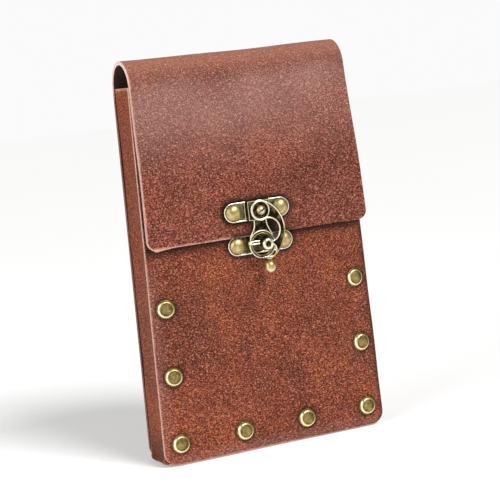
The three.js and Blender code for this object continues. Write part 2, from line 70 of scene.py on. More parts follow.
# %% Sizes
MM = 0.001
PANEL_BOTTOM = 135.0
PANEL_TOP = 127.0
PANEL_HEIGHT = 207.0
PANEL_CORNER = 7.0
DEPTH = 27.0
LEATHER = 2.0
FLAP_EDGE = 119.5
FLAP_FACE = -5.8
PIVOT = (-0.5, 133.3)
STUD = (1.3, 114.45)
FRAME_DEPTH = 30.3
FRAME_HEIGHT = 164.0


def at(x, y, z):
    return Vector((x * MM, (y - FRAME_DEPTH) * MM, (z - FRAME_HEIGHT) * MM))


def half_width(z):
    share = min(max(z / PANEL_HEIGHT, 0.0), 1.0)
    return (PANEL_BOTTOM + (PANEL_TOP - PANEL_BOTTOM) * share) / 2


def smooth(low, high, value):
    share = min(max((value - low) / (high - low), 0.0), 1.0)
    return share * share * (3 - 2 * share)


def corner_cut(distance, radius):
    if distance >= radius:
        return 0.0
    return radius - math.sqrt(radius ** 2 - (radius - distance) ** 2)


# %% [markdown]
# ## A few habits at the bench
# Blender's operators work on whatever is selected, so each step starts with nothing selected. A finished
# piece keeps its place in its mesh, rides on a body of the frame, and hides the plain solid it stands for.

# %% Habits
def alone(piece=None):
    """Leaves only this piece selected and active."""
    bpy.ops.object.select_all(action="DESELECT")
    if piece:
        piece.select_set(True)
        bpy.context.view_layer.objects.active = piece


def apply(piece, kind, title, **settings):
    """Puts one modifier on a piece and applies it."""
    alone(piece)
    modifier = piece.modifiers.new(title, kind)
    for key, value in settings.items():
        setattr(modifier, key, value)
    bpy.ops.object.modifier_apply(modifier=title)


def edit(action="SELECT"):
    """Opens edit mode with everything selected, or nothing."""
    bpy.ops.object.mode_set(mode="EDIT")
    bpy.ops.mesh.select_all(action=action)


def leave():
    bpy.ops.object.mode_set(mode="OBJECT")


def shade(piece, degrees):
    alone(piece)
    bpy.ops.object.shade_smooth_by_angle(angle=math.radians(degrees))
    return piece


def dress(piece, name, body, slot, *nodes):
    """Names a finished piece and sets it in the frame in place of its solids."""
    piece.name = name
    piece.data.name = name
    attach(piece, body)
    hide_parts(*nodes)
    print(f"{name}: {len(piece.data.polygons)} faces")


# %% [markdown]
# ## Node helpers
# Materials are built from nodes by code. `Tree` keeps that short: it adds a node, sets what is plain and
# links what is a socket. Its other functions are the nodes that come back again and again.

# %% Node helpers
class Tree:
    def __init__(self, tree):
        self.tree = tree

    def link(self, output, socket):
        self.tree.links.new(output, socket)

    def node(self, kind, inputs=(), **settings):
        node = self.tree.nodes.new(kind)
        for key, value in settings.items():
            setattr(node, key, value)
        for key, value in dict(inputs).items():
            if isinstance(value, bpy.types.NodeSocket):
                self.link(value, node.inputs[key])
            else:
                node.inputs[key].default_value = value
        return node

    def place(self):
        return self.node("ShaderNodeTexCoord").outputs["Object"]

    def attribute(self, name):
        return self.node("ShaderNodeAttribute", attribute_name=name).outputs["Fac"]

    def group(self, group, inputs):
        return self.node("ShaderNodeGroup", inputs, node_tree=group).outputs

    def math(self, operation, first, second=0.0, third=0.0, clamp=False):
        numbers = {0: first, 1: second, 2: third}
        return self.node("ShaderNodeMath", numbers, operation=operation, use_clamp=clamp).outputs[0]

    def vector(self, operation, first, second):
        return self.node("ShaderNodeVectorMath", {0: first, 1: second}, operation=operation).outputs[0]

    def noise(self, vector, scale, detail=4.0, rough=0.55, distortion=0.0):
        return self.node("ShaderNodeTexNoise", {
            "Vector": vector, "Scale": scale, "Detail": detail, "Roughness": rough,
            "Distortion": distortion,
        }).outputs["Fac"]

    def mix(self, factor, first, second):
        colours = {0: factor, 6: first, 7: second}
        return self.node("ShaderNodeMix", colours, data_type="RGBA").outputs[2]

    def range(self, value, low, high, to_low=0.0, to_high=1.0):
        return self.node("ShaderNodeMapRange", {
            "Value": value, "From Min": low, "From Max": high, "To Min": to_low, "To Max": to_high,
        }, clamp=True).outputs[0]

    def bump(self, shader, strength, distance, height):
        inputs = {"Strength": strength, "Distance": distance, "Height": height}
        self.link(self.node("ShaderNodeBump", inputs).outputs[0], shader.inputs["Normal"])


def colour(red, green, blue):
    """A screen colour of 0 to 255 as the linear colour that nodes want."""
    def linear(value):
        value /= 255
        return value / 12.92 if value <= 0.04045 else ((value + 0.055) / 1.055) ** 2.4
    return (linear(red), linear(green), linear(blue), 1.0)


def new_group(title, inputs, outputs):
    """An empty node group with named sockets; gives back it, its tree, its inputs and its outputs."""
    group = bpy.data.node_groups.new(title, "ShaderNodeTree")
    kinds = {"value": "NodeSocketFloat", "colour": "NodeSocketColor", "vector": "NodeSocketVector"}
    for way, sockets in (("INPUT", inputs), ("OUTPUT", outputs)):
        for name, kind in sockets:
            group.interface.new_socket(name=name, in_out=way, socket_type=kinds[kind])
    given = group.nodes.new("NodeGroupInput").outputs
    return group, Tree(group), given, group.nodes.new("NodeGroupOutput").inputs


def new_material(title):
    material = bpy.data.materials.new(title)
    material.use_nodes = True
    tree = Tree(material.node_tree)
    return material, tree, material.node_tree.nodes["Principled BSDF"]


# %% [markdown]
# ## Pebbled grain
# Waxed leather has a skin of small raised pebbles, about a millimetre across, with fine creases between
# them. A cell pattern gives the pebbles, and a finer noise breaks them into short wrinkles. Bending the
# coordinates with a little noise first keeps the cells from looking like honeycomb.

# %% Pebbled grain
GRAIN_PUSH = 0.0022
GRAIN_STRETCH = (0.78, 1.0, 1.1)
WRINKLE_SHARE = 0.6

grain_group, tree, given, result = new_group(
    "Pebbled grain",
    [("Vector", "vector"), ("Cells per metre", "value"), ("Fineness", "value")],
    [("Height", "value"), ("Crease", "value")],
)
wander = tree.node("ShaderNodeTexNoise", {
    "Vector": given["Vector"], "Scale": 420.0, "Detail": 2.0,
}).outputs["Color"]
wander = tree.vector("SUBTRACT", wander, (0.5, 0.5, 0.5))
pushed = tree.node("ShaderNodeVectorMath", {0: wander, 3: GRAIN_PUSH}, operation="SCALE").outputs[0]
bent = tree.vector("MULTIPLY", tree.vector("ADD", given["Vector"], pushed), GRAIN_STRETCH)
cells = tree.node("ShaderNodeTexVoronoi", {
    "Vector": bent, "Scale": given["Cells per metre"], "Randomness": 1.0,
}, feature="DISTANCE_TO_EDGE").outputs["Distance"]
wrinkle_scale = tree.math("MULTIPLY", given["Cells per metre"], 1.65)
wrinkle = tree.range(tree.noise(bent, wrinkle_scale, 1.0, 0.5, 0.2), 0.37, 0.63)
pebble = tree.math("MULTIPLY", tree.range(cells, 0.0, 0.22), 1 - WRINKLE_SHARE)
pebble = tree.math("MULTIPLY_ADD", wrinkle, WRINKLE_SHARE, pebble)
fine_scale = tree.math("MULTIPLY", given["Cells per metre"], 2.7)
fine = tree.math("MULTIPLY", tree.noise(bent, fine_scale, 3.0, 0.6), given["Fineness"])
tree.link(tree.math("ADD", pebble, fine), result["Height"])
tree.link(tree.math("SUBTRACT", 1.0, pebble, clamp=True), result["Crease"])
print("grain:", len(grain_group.nodes), "nodes")

# %% [markdown]
# ## Cloudy dye
# Pull-up leather is dyed unevenly and its wax shifts where it is bent: broad dark clouds, smaller
# reddish patches and a fine speckle sit over each other. Dye gathers in the creases, which are also
# painted darker as shade, and wears off the tops of the pebbles, which are also painted pale as
# highlights. Three noises of very different scale keep any one pattern from being picked out.

# %% Cloudy dye
dye_group, tree, given, result = new_group(
    "Cloudy dye",
    [("Vector", "vector"), ("Dark", "colour"), ("Middle", "colour"), ("Light", "colour"),
     ("Top", "colour"), ("Crease", "value"), ("Speckle", "value")],
    [("Color", "colour"), ("Cloud", "value")],
)
broad = tree.noise(given["Vector"], 22.0, 3.0, 0.55, 0.6)
patches = tree.noise(given["Vector"], 75.0, 3.0, 0.55, 0.4)
speckle = tree.noise(given["Vector"], 700.0, 2.0, 0.7)
cloud = tree.math("ADD", tree.math("MULTIPLY", broad, 0.65), tree.math("MULTIPLY", patches, 0.35))
tone = tree.mix(tree.range(cloud, 0.5, 0.38, 0.0, 0.4), given["Middle"], given["Dark"])
tone = tree.mix(tree.range(cloud, 0.5, 0.61, 0.0, 0.7), tone, given["Light"])
grit = tree.math("MULTIPLY", tree.range(speckle, 0.38, 0.62, -1.0, 1.0), given["Speckle"])
for way, shade_of_grit in ((1.0, "Light"), (-1.0, "Dark")):
    share = tree.math("MULTIPLY", grit, way, clamp=True)
    tone = tree.mix(share, tone, given[shade_of_grit])
# Dye in the creases, with the creases also painted darker as shade.
tone = tree.mix(tree.range(given["Crease"], 0.4, 0.8, 0.0, 0.93), tone, given["Dark"])
# Pebble tops worn paler and painted pale as highlights.
top = tree.range(given["Crease"], 0.42, 0.06, 0.0, 0.6)
tree.link(tree.mix(top, tone, given["Top"]), result["Color"])
tree.link(cloud, result["Cloud"])
print("dye:", len(dye_group.nodes), "nodes")

# %% [markdown]
# ## Rubbed edge
# Every sheet carries an attribute named `rim`, the distance to its cut edge in millimetres. Hands and
# cloth rub the finish off along that edge, unevenly, so the distance is disturbed by noise before it
# becomes a mask.

# %% Rubbed edge
rub_group, tree, given, result = new_group(
    "Rubbed edge",
    [("Vector", "vector"), ("Distance", "value"), ("Width", "value")],
    [("Mask", "value")],
)
RUB_LEAST = 0.05
ragged = tree.range(tree.noise(given["Vector"], 160.0, 4.0, 0.65), 0.3, 0.7, -1.0, 1.2)
reach = tree.math("MULTIPLY_ADD", ragged, tree.math("MULTIPLY", given["Width"], 0.5), given["Width"])
inside = tree.math("DIVIDE", given["Distance"], tree.math("MAXIMUM", reach, RUB_LEAST))
tree.link(tree.math("SUBTRACT", 1.0, inside, clamp=True), result["Mask"])


# %% [markdown]
# ## The leathers
# The grain side takes the dye and the grain. Four attributes of the sheet then change it: `rim` rubs the
# edge pale; a second lightens the pull-up leather where it bends and paints the crest of the arch lighter
# as top light; a third is a pale painted sheen; the last is painted shade and shadow, which darkens what
# lies in a fold, under a fitting or turned from the light.

# %% Grain side
# The first colour is painted shade and shadow; the second is pulled leather, also used as painted top light
# on the arch; the third tints the real sheen.
PAINTED_SHADE_COLOUR = colour(34, 16, 12)
PULLED_AND_LIT = colour(222, 148, 122)
SHEEN = (1.0, 0.66, 0.56, 1.0)


def grain_side(title, dark, middle, light, top, rubbed, painted_sheen_colour, cells, depth, speckle, rough, rub_width):
    material, tree, shader = new_material(title)
    place = tree.place()
    grain = tree.group(grain_group, {"Vector": place, "Cells per metre": cells, "Fineness": 0.35})
    dye = tree.group(dye_group, {
        "Vector": place, "Dark": dark, "Middle": middle, "Light": light, "Top": top,
        "Crease": grain["Crease"], "Speckle": speckle,
    })
    rim = tree.attribute("rim")
    wear_and_light = tree.group(rub_group, {"Vector": place, "Distance": rim, "Width": rub_width})["Mask"]
    tone = tree.mix(tree.math("MULTIPLY", wear_and_light, 0.85), dye["Color"], rubbed)
    # Pulled leather, which on the arch is also painted lighter as top light.
    tone = tree.mix(tree.math("MULTIPLY", tree.attribute("pull_and_top_light"), 0.62), tone, PULLED_AND_LIT)
    on_top = tree.range(grain["Crease"], 0.0, 0.8, 1.0, 0.6)
    # Painted sheen, only on the pebble tops.
    tone = tree.mix(tree.math("MULTIPLY", tree.attribute("painted_sheen"), on_top), tone, painted_sheen_colour)
    # Painted shade and shadow.
    tone = tree.mix(tree.attribute("painted_shade"), tone, PAINTED_SHADE_COLOUR)
    tree.link(tone, shader.inputs["Base Color"])
    gloss = tree.range(dye["Cloud"], 0.35, 0.65, rough - 0.06, rough + 0.08)
    gloss = tree.math("MULTIPLY_ADD", grain["Crease"], 0.12, gloss)
    tree.link(gloss, shader.inputs["Roughness"])
    waves = tree.math("MULTIPLY", tree.noise(place, 60.0, 3.0), 1.4)
    tree.bump(shader, 1.0, depth, tree.math("ADD", grain["Height"], waves))
    shader.inputs["Specular IOR Level"].default_value = 0.4
    shader.inputs["Specular Tint"].default_value = SHEEN
    return material


# %% [markdown]
# ## Flesh side and cut edge
# The flesh side, seen inside the arch, is a dry brown nap. The cut edge is raw at the arch: pale,
# pinkish, a little fibrous. Lower down it is darker at the back, and on the right it is painted darker as
# shade. Grain, flesh and edge are one sheet, so every leather piece gets all three in its slots.

# %% Flesh side and cut edge
BARE = colour(250, 236, 226)


def plain_side(title, dark, light, scale, depth, rough):
    material, tree, shader = new_material(title)
    place = tree.place()
    fibre = tree.noise(place, scale, 6.0, 0.7, 0.6)
    broad = tree.noise(place, scale * 0.12, 3.0)
    tone = tree.mix(tree.range(fibre, 0.35, 0.65), dark, light)
    tone = tree.mix(tree.range(broad, 0.45, 0.75, 0.0, 0.5), tone, dark)
    tree.link(tone, shader.inputs["Base Color"])
    shader.inputs["Roughness"].default_value = rough
    tree.bump(shader, 0.8, depth, fibre)
    return material


def edge_side(title, dark, light, darker_edge):
    material = plain_side(title, dark, light, 1500.0, 0.0001, 0.75)
    tree = Tree(material.node_tree)
    base = material.node_tree.nodes["Principled BSDF"].inputs["Base Color"]
    raw = base.links[0].from_socket
    place = tree.node("ShaderNodeSeparateXYZ", {"Vector": tree.place()}).outputs
    behind = tree.range(place["Y"], -0.012, -0.008)
    # On the right the edge is painted darker as shade; at the back it is simply darker.
    right = tree.range(place["X"], 0.0, 0.04)
    below = tree.range(place["Z"], 0.044, 0.036, 0.0, 0.85)
    dark_back_shaded_right = tree.math("MULTIPLY", tree.math("MAXIMUM", behind, right), below)
    tone = tree.mix(dark_back_shaded_right, raw, darker_edge)
    on_arch = tree.range(place["Z"], 0.04, 0.05, 0.0, 0.6)
    tree.link(tree.mix(on_arch, tone, BARE), base)
    return material


# %% Leather materials
# Each leather's `top` colours the pebble tops: worn paler and painted pale as highlights.
flap_grain = grain_side(
    "Flap leather, grain side", dark=colour(70, 22, 12), middle=colour(150, 74, 56),
    light=colour(180, 96, 68), top=colour(210, 146, 126), rubbed=colour(240, 186, 168),
    painted_sheen_colour=colour(190, 142, 132), cells=780.0, depth=0.0009, speckle=0.1, rough=0.4, rub_width=1.0)
panel_grain = grain_side(
    "Panel leather, grain side", dark=colour(66, 18, 8), middle=colour(148, 68, 44),
    light=colour(184, 94, 52), top=colour(208, 140, 112), rubbed=colour(218, 150, 122),
    painted_sheen_colour=colour(182, 134, 126), cells=780.0, depth=0.0009, speckle=0.1, rough=0.4, rub_width=0.8)
gusset_grain = grain_side(
    "Gusset leather, grain side", dark=colour(82, 28, 10), middle=colour(166, 74, 38),
    light=colour(194, 98, 52), top=colour(182, 112, 76), rubbed=colour(222, 170, 144),
    painted_sheen_colour=colour(196, 144, 136), cells=760.0, depth=0.0004, speckle=0.3, rough=0.5, rub_width=1.2)
flesh = plain_side(
    "Leather, flesh side", colour(44, 26, 20), colour(78, 48, 36), scale=900.0, depth=0.0002, rough=0.9)
cut_edge = edge_side(
    "Leather, cut edge", colour(186, 122, 104), colour(250, 210, 196), darker_edge=colour(112, 60, 40))
print("leathers:", [material.name for material in (flap_grain, panel_grain, gusset_grain, flesh, cut_edge)])


# %% [markdown]
# ## A sheet of leather
# A sheet starts as a flat grid, cut fine enough to bend smoothly. Each of its corners is carried to its
# place on the pouch, its attributes are written, and Solidify gives the wall. Solidify also sorts the
# faces: grain side, flesh side and cut edge each get their own slot. A small bevel rounds the cut edge.
# No two hand cut sheets lie quite flat, so `ripple` gives every piece a slow unevenness of its own.

# %% A sheet of leather
def spaced(start, end, step):
    count = max(round(abs(end - start) / step), 1)
    return [start + (end - start) * i / count for i in range(count + 1)]


def leather_sheet(columns, rows, place, wall, grain_side_slot, edge=0.35):
    """place(column, row) gives a point in millimetres, its rim, its pull with painted top light, its
    painted sheen and its painted shade and shadow.
    """
    alone()
    wide = len(columns) - 1
    high = len(rows) - 1
    bpy.ops.mesh.primitive_grid_add(x_subdivisions=wide, y_subdivisions=high, size=1)
    piece = bpy.context.object
    mesh = piece.data
    measured = {name: [] for name in ("rim", "pull_and_top_light", "painted_sheen", "painted_shade")}
    for vertex in mesh.vertices:
        column = columns[round((vertex.co.x + 0.5) * wide)]
        row = rows[round((vertex.co.y + 0.5) * high)]
        point, *values = place(column, row)
        vertex.co = at(*point)
        for kept, value in zip(measured.values(), values):
            kept.append(value)
    for name, kept in measured.items():
        mesh.attributes.new(name, "FLOAT", "POINT")
        mesh.attributes[name].data.foreach_set("value", kept)
    mesh.uv_layers.remove(mesh.uv_layers[0])
    for material in (grain_side_slot, flesh, cut_edge):
        mesh.materials.append(material)
    apply(piece, "SOLIDIFY", "wall", thickness=wall * MM, offset=-1.0, use_even_offset=True,
          material_offset=1, material_offset_rim=2)
    apply(piece, "BEVEL", "rounded cut edge", width=edge * MM, segments=3, limit_method="ANGLE",
          angle_limit=math.radians(60), material=2)
    return shade(piece, 40)


def ripple(x, z, size, seed):
    """Slow unevenness of hand cut leather, from about -1 to 1, over a length in millimetres."""
    return noise.noise(Vector((x / size, z / size, seed * 7.3))) * 1.6


# %% [markdown]
# ## Rivet places
# The imported model knows where each brass cap stands. The leather needs those places too, because a set
# rivet pulls the sheet down round itself and leaves it a little puffed between one cap and the next.
# Painted shade and shadow darken the leather round the caps, round the clasp's plates and in the
# window between the lever and the tongue.

# %% Rivet places
CAP_PULL = 6.5
PLATE_SPREAD = 14.0
WINDOW = (8.2, 13.0)
WINDOW_SHIFT = 3.4


def middle(node):
    """Middle of a solid in the millimetres of the bench."""
    low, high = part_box(node)
    centre = (low + high) / 2 / MM
    return Vector((centre.x, centre.y + FRAME_DEPTH, centre.z + FRAME_HEIGHT))


def places_of(kind):
    nodes = [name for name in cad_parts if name.startswith(kind)]
    return nodes, [(middle(name).x, middle(name).z) for name in nodes]


front_rivets, side_places = places_of("front_rivet")
back_rivets = places_of("back_rivet")[0]
loop_rivets, loop_places = places_of("loop_rivet")
print("rivets:", len(front_rivets), len(back_rivets), len(loop_rivets))


def pressed(x, z, places, reach):
    """How far a point is under the pull of the nearest rivet, from 0 to 1."""
    near = min((x - px) ** 2 + (z - pz) ** 2 for px, pz in places)
    return math.exp(-near / reach ** 2)


def painted_clasp_shade(x, z):
    """How much painted shade and shadow lies round, under and between the parts of the clasp, from 0 to 1.
    """
    middle_x = (PIVOT[0] + STUD[0]) / 2 + WINDOW_SHIFT
    middle_z = (PIVOT[1] + STUD[1]) / 2
    window = ((x - middle_x) / WINDOW[0]) ** 2 + ((z - middle_z) / WINDOW[1]) ** 2
    plates = min(
        math.hypot(max(abs(x - px) - PLATE_SPREAD, 0.0), z - pz) for px, pz in (PIVOT, STUD))
    return max(0.94 * (1 - smooth(0.55, 1.15, window)), 0.9 * (1 - smooth(6.0, 8.4, plates)))


def right_rub_shade(x):
    """How much narrower the pale rubbed line is on the right, painted as shade where less light catches it.
    """
    return 1.2 * smooth(0, 40, x)


# %% [markdown]
# ## Front panel
# The panel is one plate of leather, wider at the foot, with rounded lower corners. What is carried
# inside has given it a low crown, it is drawn in at each rivet, and its margins fall back a little. It is
# painted dark as shade under the flap's edge and along the right side, which turns from the light, and
# round the caps as their shadow; a pale painted sheen lies along the left and lower margins. The columns
# stand close at both sides, for the rolled edge.

# %% Front panel
CROWN = 1.8
PUFF = 0.55


def panel_crown(x, z):
    """How far the panel stands proud of a flat sheet; towards its side edges it falls back."""
    across = 1 - smooth(0.66, 1.0, abs(x) / half_width(z))
    up = z / PANEL_HEIGHT
    return CROWN * across * smooth(0.08, 0.2, up) * (1 - smooth(0.72, 0.94, up))


def panel_painted_shade(x, z, side):
    # Painted shadow under the flap's edge, painted shade along the right side and painted shadow round the
    # caps.
    below_flap = FLAP_EDGE - z
    painted_dusk = 0.4 * (1 - smooth(2.5, 7.0, below_flap)) + 0.5 * (1 - smooth(1.0, 2.8, below_flap))
    painted_right_shade = 0.62 * smooth(10, 50, x) * (1 - smooth(0.6, 3.6, side))
    painted_cap_shadow = 0.85 * smooth(0.28, 0.5, pressed(x, z, side_places, CAP_PULL))
    return max(painted_clasp_shade(x, z), painted_cap_shadow, painted_dusk * smooth(0.3, 1.0, side), painted_right_shade)


def panel_place(share, z):
    half = half_width(z) - corner_cut(z, PANEL_CORNER)
    x = half * share
    side = half * (1 - abs(share))
    rim = min(side, z, PANEL_HEIGHT - z)
    roll = 0.5 * (1 - smooth(0.0, 4.0, side))
    puff = PUFF * (1 - pressed(x, z, side_places, CAP_PULL)) * smooth(0.0, 5.0, rim)
    wave = 0.25 * ripple(x, z, 38, 1) * smooth(0.0, 16.0, rim)
    lip = 0.35 * (1 - smooth(0.0, 4.0, rim)) * ripple(x, z, 30, 2)
    y = roll - panel_crown(x, z) - puff - wave - lip
    # A pale painted sheen along the left and lower margins.
    painted_sheen = 0.3 * (1 - smooth(1.0, 9.0, min(half + x, z))) * (1 - smooth(100, 118, z))
    painted_sheen *= 0.8 + 0.3 * ripple(x, z, 16, 11)
    return (x, y, z), rim + right_rub_shade(x), 0.0, painted_sheen, panel_painted_shade(x, z, side)


corner_rows = [PANEL_CORNER * (1 - math.cos(step / 9 * math.pi / 2)) for step in range(9)]
left_margin = [-1, -0.995, -0.988]
panel_columns = left_margin + spaced(-0.974, 0.974, 2 / 76) + [-share for share in left_margin[::-1]]
panel = leather_sheet(
    panel_columns, corner_rows + spaced(PANEL_CORNER, PANEL_HEIGHT, 1.8), panel_place, LEATHER, panel_grain)
dress(panel, "front_panel_leather", "pouch", "body_leather", "front_panel")


# %% [markdown]
# ## Back and flap
# Back, arch and flap are one long piece. Its line starts at the foot of the back, runs up, turns over
# the mouth in a half round and comes down in front. The line is drawn first as points in y and z, and
# the flap leans out from the arch until it clears the front panel.

# %% The line of the back and flap
def bezier(start, first, second, end, steps):
    points = []
    for i in range(1, steps + 1):
        t = i / steps
        weights = ((1 - t) ** 3, 3 * t * (1 - t) ** 2, 3 * t * t * (1 - t), t ** 3)
        points.append(tuple(
            sum(w * p[axis] for w, p in zip(weights, (start, first, second, end))) for axis in (0, 1)))
    return points


ARCH_Y = 12.35
ARCH_RADIUS = 14.65
LEAN_TOP = FLAP_EDGE + 26
FLAP_CORNER = 5.0
lean = (PANEL_HEIGHT - LEAN_TOP) / 3
line = [(DEPTH, z) for z in corner_rows + spaced(PANEL_CORNER, PANEL_HEIGHT, 2.4)]
arch = [math.pi * i / 26 for i in range(1, 27)]
line += [(ARCH_Y + ARCH_RADIUS * math.cos(a), PANEL_HEIGHT + ARCH_RADIUS * math.sin(a)) for a in arch]
line += bezier(line[-1], (line[-1][0], PANEL_HEIGHT - lean), (FLAP_FACE, LEAN_TOP + lean),
               (FLAP_FACE, LEAN_TOP), 34)
line += [(FLAP_FACE, z) for z in spaced(LEAN_TOP, FLAP_EDGE + FLAP_CORNER, 1.7)[1:]]
line += [(FLAP_FACE, FLAP_EDGE + cut * FLAP_CORNER / PANEL_CORNER) for cut in reversed(corner_rows)]
print("points along the back, arch and flap:", len(line))

# %% [markdown]
# The sheet is then carried along that line. The flap widens downwards, less on the left than on the
# right, its lower corners curl a little, the left one more, and its edge waves. The clasp presses it in
# and the arch is slack in the middle. A pale sheen is painted over the upper half of the flap and a
# highlight along the crest of the arch, and painted shade and shadow lie round the clasp.

# %% Back and flap
FLARE_LEFT = 3.6
FLARE_RIGHT = 6.5
CURL_LEFT = 2.4
CURL_RIGHT = 1.0
CURL_SIZE = 15
crest = max(range(len(line)), key=lambda i: line[i][1])


def outward(i):
    """The way out of the grain side at a point of the line."""
    before = line[max(i - 1, 0)]
    after = line[min(i + 1, len(line) - 1)]
    run = Vector((after[0] - before[0], after[1] - before[1])).normalized()
    return Vector((run.y, -run.x))


def flap_place(share, i):
    y, z = line[i]
    front = i > crest
    if front:
        below = PANEL_HEIGHT - min(z, PANEL_HEIGHT)
        flare = (FLARE_LEFT if share > 0 else FLARE_RIGHT) * below / (PANEL_HEIGHT - FLAP_EDGE)
        half = (PANEL_TOP + flare) / 2 - corner_cut(z - FLAP_EDGE, FLAP_CORNER)
        rim = min(half * (1 - abs(share)), 0.85 * max(z - FLAP_EDGE, 0.0))
    else:
        half = half_width(z) - corner_cut(z, PANEL_CORNER)
        rim = min(half * (1 - abs(share)), z)
    x = -half * share
    way = outward(i)
    lift = 0.3 * ripple(x, z + (300 if front else 0), 42, 3) * smooth(0.0, 12.0, rim)
    if front:
        near_x = max(abs(x) - (half - CURL_SIZE), 0.0)
        corner = math.hypot(near_x, max(FLAP_EDGE + CURL_SIZE - z, 0.0)) / (1.4 * CURL_SIZE)
        lift += (CURL_LEFT if x < 0 else CURL_RIGHT) * max(corner - 0.55, 0.0) ** 2
        lift += 0.25 * (1 - smooth(0.0, 10.0, z - FLAP_EDGE)) * ripple(x, 0, 26, 4)
        lift -= 0.5 * math.exp(-((x - PIVOT[0]) / 22) ** 2 - ((z - PIVOT[1]) / 12) ** 2)
    else:
        puff = PUFF * (1 - pressed(x, z, side_places + loop_places, CAP_PULL))
        lift += puff * smooth(0.0, 5.0, rim) * (1 - smooth(180, 200, z))
    on_arch = max(z - PANEL_HEIGHT, 0.0) / ARCH_RADIUS
    lift -= 0.7 * on_arch * (1 - (x / 66) ** 2) * (0.6 + 0.4 * ripple(x, 0, 40, 5))
    # Pulled leather over the arch, also painted lighter on top as top light.
    pull_and_top_light = smooth(0.0, 1.0, (z - PANEL_HEIGHT) / ARCH_RADIUS)
    painted_sheen = painted_shade = 0.0
    if front:
        # A pale painted sheen over the upper flap.
        painted_sheen = (1 - 0.8 * smooth(PANEL_HEIGHT - 4, PANEL_HEIGHT + 8, z)) * smooth(150, 200, z)
        painted_sheen *= 0.66 + 0.3 * ripple(x, z, 30, 9)
        # Painted shade and shadow round the clasp.
        painted_shade = painted_clasp_shade(x, z)
    # A painted highlight on the crest of the arch.
    painted_sheen = max(painted_sheen + 0.7 * smooth(0.9, 0.99, on_arch), 0.0)
    point = (x, y + way.x * lift, z + way.y * lift)
    return point, rim + right_rub_shade(x), pull_and_top_light, painted_sheen, painted_shade


flap = leather_sheet(
    spaced(-1, 1, 2 / 72), list(range(len(line))), flap_place, LEATHER, flap_grain, edge=0.5)
dress(flap, "back_and_flap_leather", "pouch", "body_leather", "back_flap")

# %% [markdown]
# ## Gusset
# The gusset is a strip of thinner leather folded into a channel. Its wall runs down one side, round the
# lower corner, along the bottom and up the other side, and a flange turns in behind each panel. The
# strip is stiff at the folds and a little slack between them, so its wall pulls in. The front fold is
# wide; the rear one is tight and reaches the edge of the back. The wall is painted dark as shade near both
# folds. At the lower corners the strip has to bunch and stands out past the rounded panels; there it is
# painted dark as shade in the wall and pale as highlights along the folds.

# %% Gusset's path
GUSSET = 1.8
GUSSET_CORNER = 3.0
FOLD = 2.4
TIGHT_FOLD = 1.9
SETBACK = 0.8
REAR_SETBACK = 0.1
FLANGE = 15.8
FRONT_Y = 2.3
BACK_Y = 24.7

path = [0.0]
for start, steps in enumerate((84, 7, 56, 7, 84)):
    path += [start + step for step in spaced(0, 1, 1 / steps)[1:]]


def gusset_outline(run, inset):
    """A point of the pouch's outline drawn in by an inset, run going down the left side, round and up."""
    radius = max(GUSSET_CORNER - inset + SETBACK, 1.0)
    if run > 2.5:
        x, z = gusset_outline(5 - run, inset)
        return -x, z
    low = inset + radius
    side = half_width(low) - inset
    if run <= 1:
        z = PANEL_HEIGHT + (low - PANEL_HEIGHT) * run
        return -(half_width(z) - inset), z
    if run <= 2:
        angle = math.pi + (run - 1) * math.pi / 2
        return -side + radius + radius * math.cos(angle), low + radius * math.sin(angle)
    reach = side - radius
    return -reach + 2 * reach * (run - 2), inset


print("steps along the gusset:", len(path))

# %% Gusset
fold_turn = [math.pi / 2 * i / 5 for i in range(6)]
profile = [(inset, FRONT_Y) for inset in spaced(FLANGE, SETBACK + FOLD, 2.1)]
profile += [(SETBACK + FOLD * (1 - math.sin(a)), FRONT_Y + FOLD * (1 - math.cos(a))) for a in fold_turn[1:]]
for y in spaced(FRONT_Y + FOLD, BACK_Y - TIGHT_FOLD, 1.6)[1:-1]:
    profile.append((SETBACK + (REAR_SETBACK - SETBACK) * smooth(12, 22, y), y))
for a in fold_turn:
    profile.append((REAR_SETBACK + TIGHT_FOLD * (1 - math.cos(a)), BACK_Y - TIGHT_FOLD * (1 - math.sin(a))))
profile += [(inset, BACK_Y) for inset in spaced(REAR_SETBACK + TIGHT_FOLD, FLANGE, 2.1)[1:]]


def gusset_place(i, run):
    inset, y = profile[i]
    deep = max(1 - abs((y - 13.5) / 11.2), 0.0)
    wall = 1 - smooth(SETBACK, SETBACK + FOLD, inset)
    corner = math.exp(-((min(run, 5 - run) - 1.5) / 0.45) ** 2)
    slack = 0.9 * math.sin(deep * math.pi / 2) * (1 - corner)
    x, z = gusset_outline(run, inset)
    slack += wall * (0.35 * ripple(x + z, y * 2, 24, 6) - 1.3 * corner)
    x, z = gusset_outline(run, inset + slack)
    rim = min(PANEL_HEIGHT - z, FLANGE - inset)
    # Painted shade near both folds; at the lower corners painted shade in the wall and painted highlights
    # along the folds.
    painted_dusk = 0.7 * (1 - smooth(FRONT_Y, 6.0, y)) + 0.25 * smooth(20.0, BACK_Y, y)
    painted_corner = smooth(52, 60, abs(x)) * (1 - smooth(4, 26, z))
    fold = math.exp(-((min(y - FRONT_Y, BACK_Y - y) - 1.4) / 1.1) ** 2)
    painted_fold_highlight = painted_corner * fold * (0.75 + 0.4 * ripple(x, z, 6, 10))
    painted_dusk = min((painted_dusk + 0.6 * painted_corner * wall) * (1 - painted_fold_highlight), 0.9)
    rim = max(min(rim * 0.6, 3 - 3 * painted_fold_highlight), 0.0)
    return (x, y, min(z, PANEL_HEIGHT)), rim, 0.0, 0.0, painted_dusk


gusset = leather_sheet(list(range(len(profile))), path, gusset_place, GUSSET, gusset_grain)
dress(gusset, "gusset_leather_strip", "pouch", "gusset_leather", "gusset")

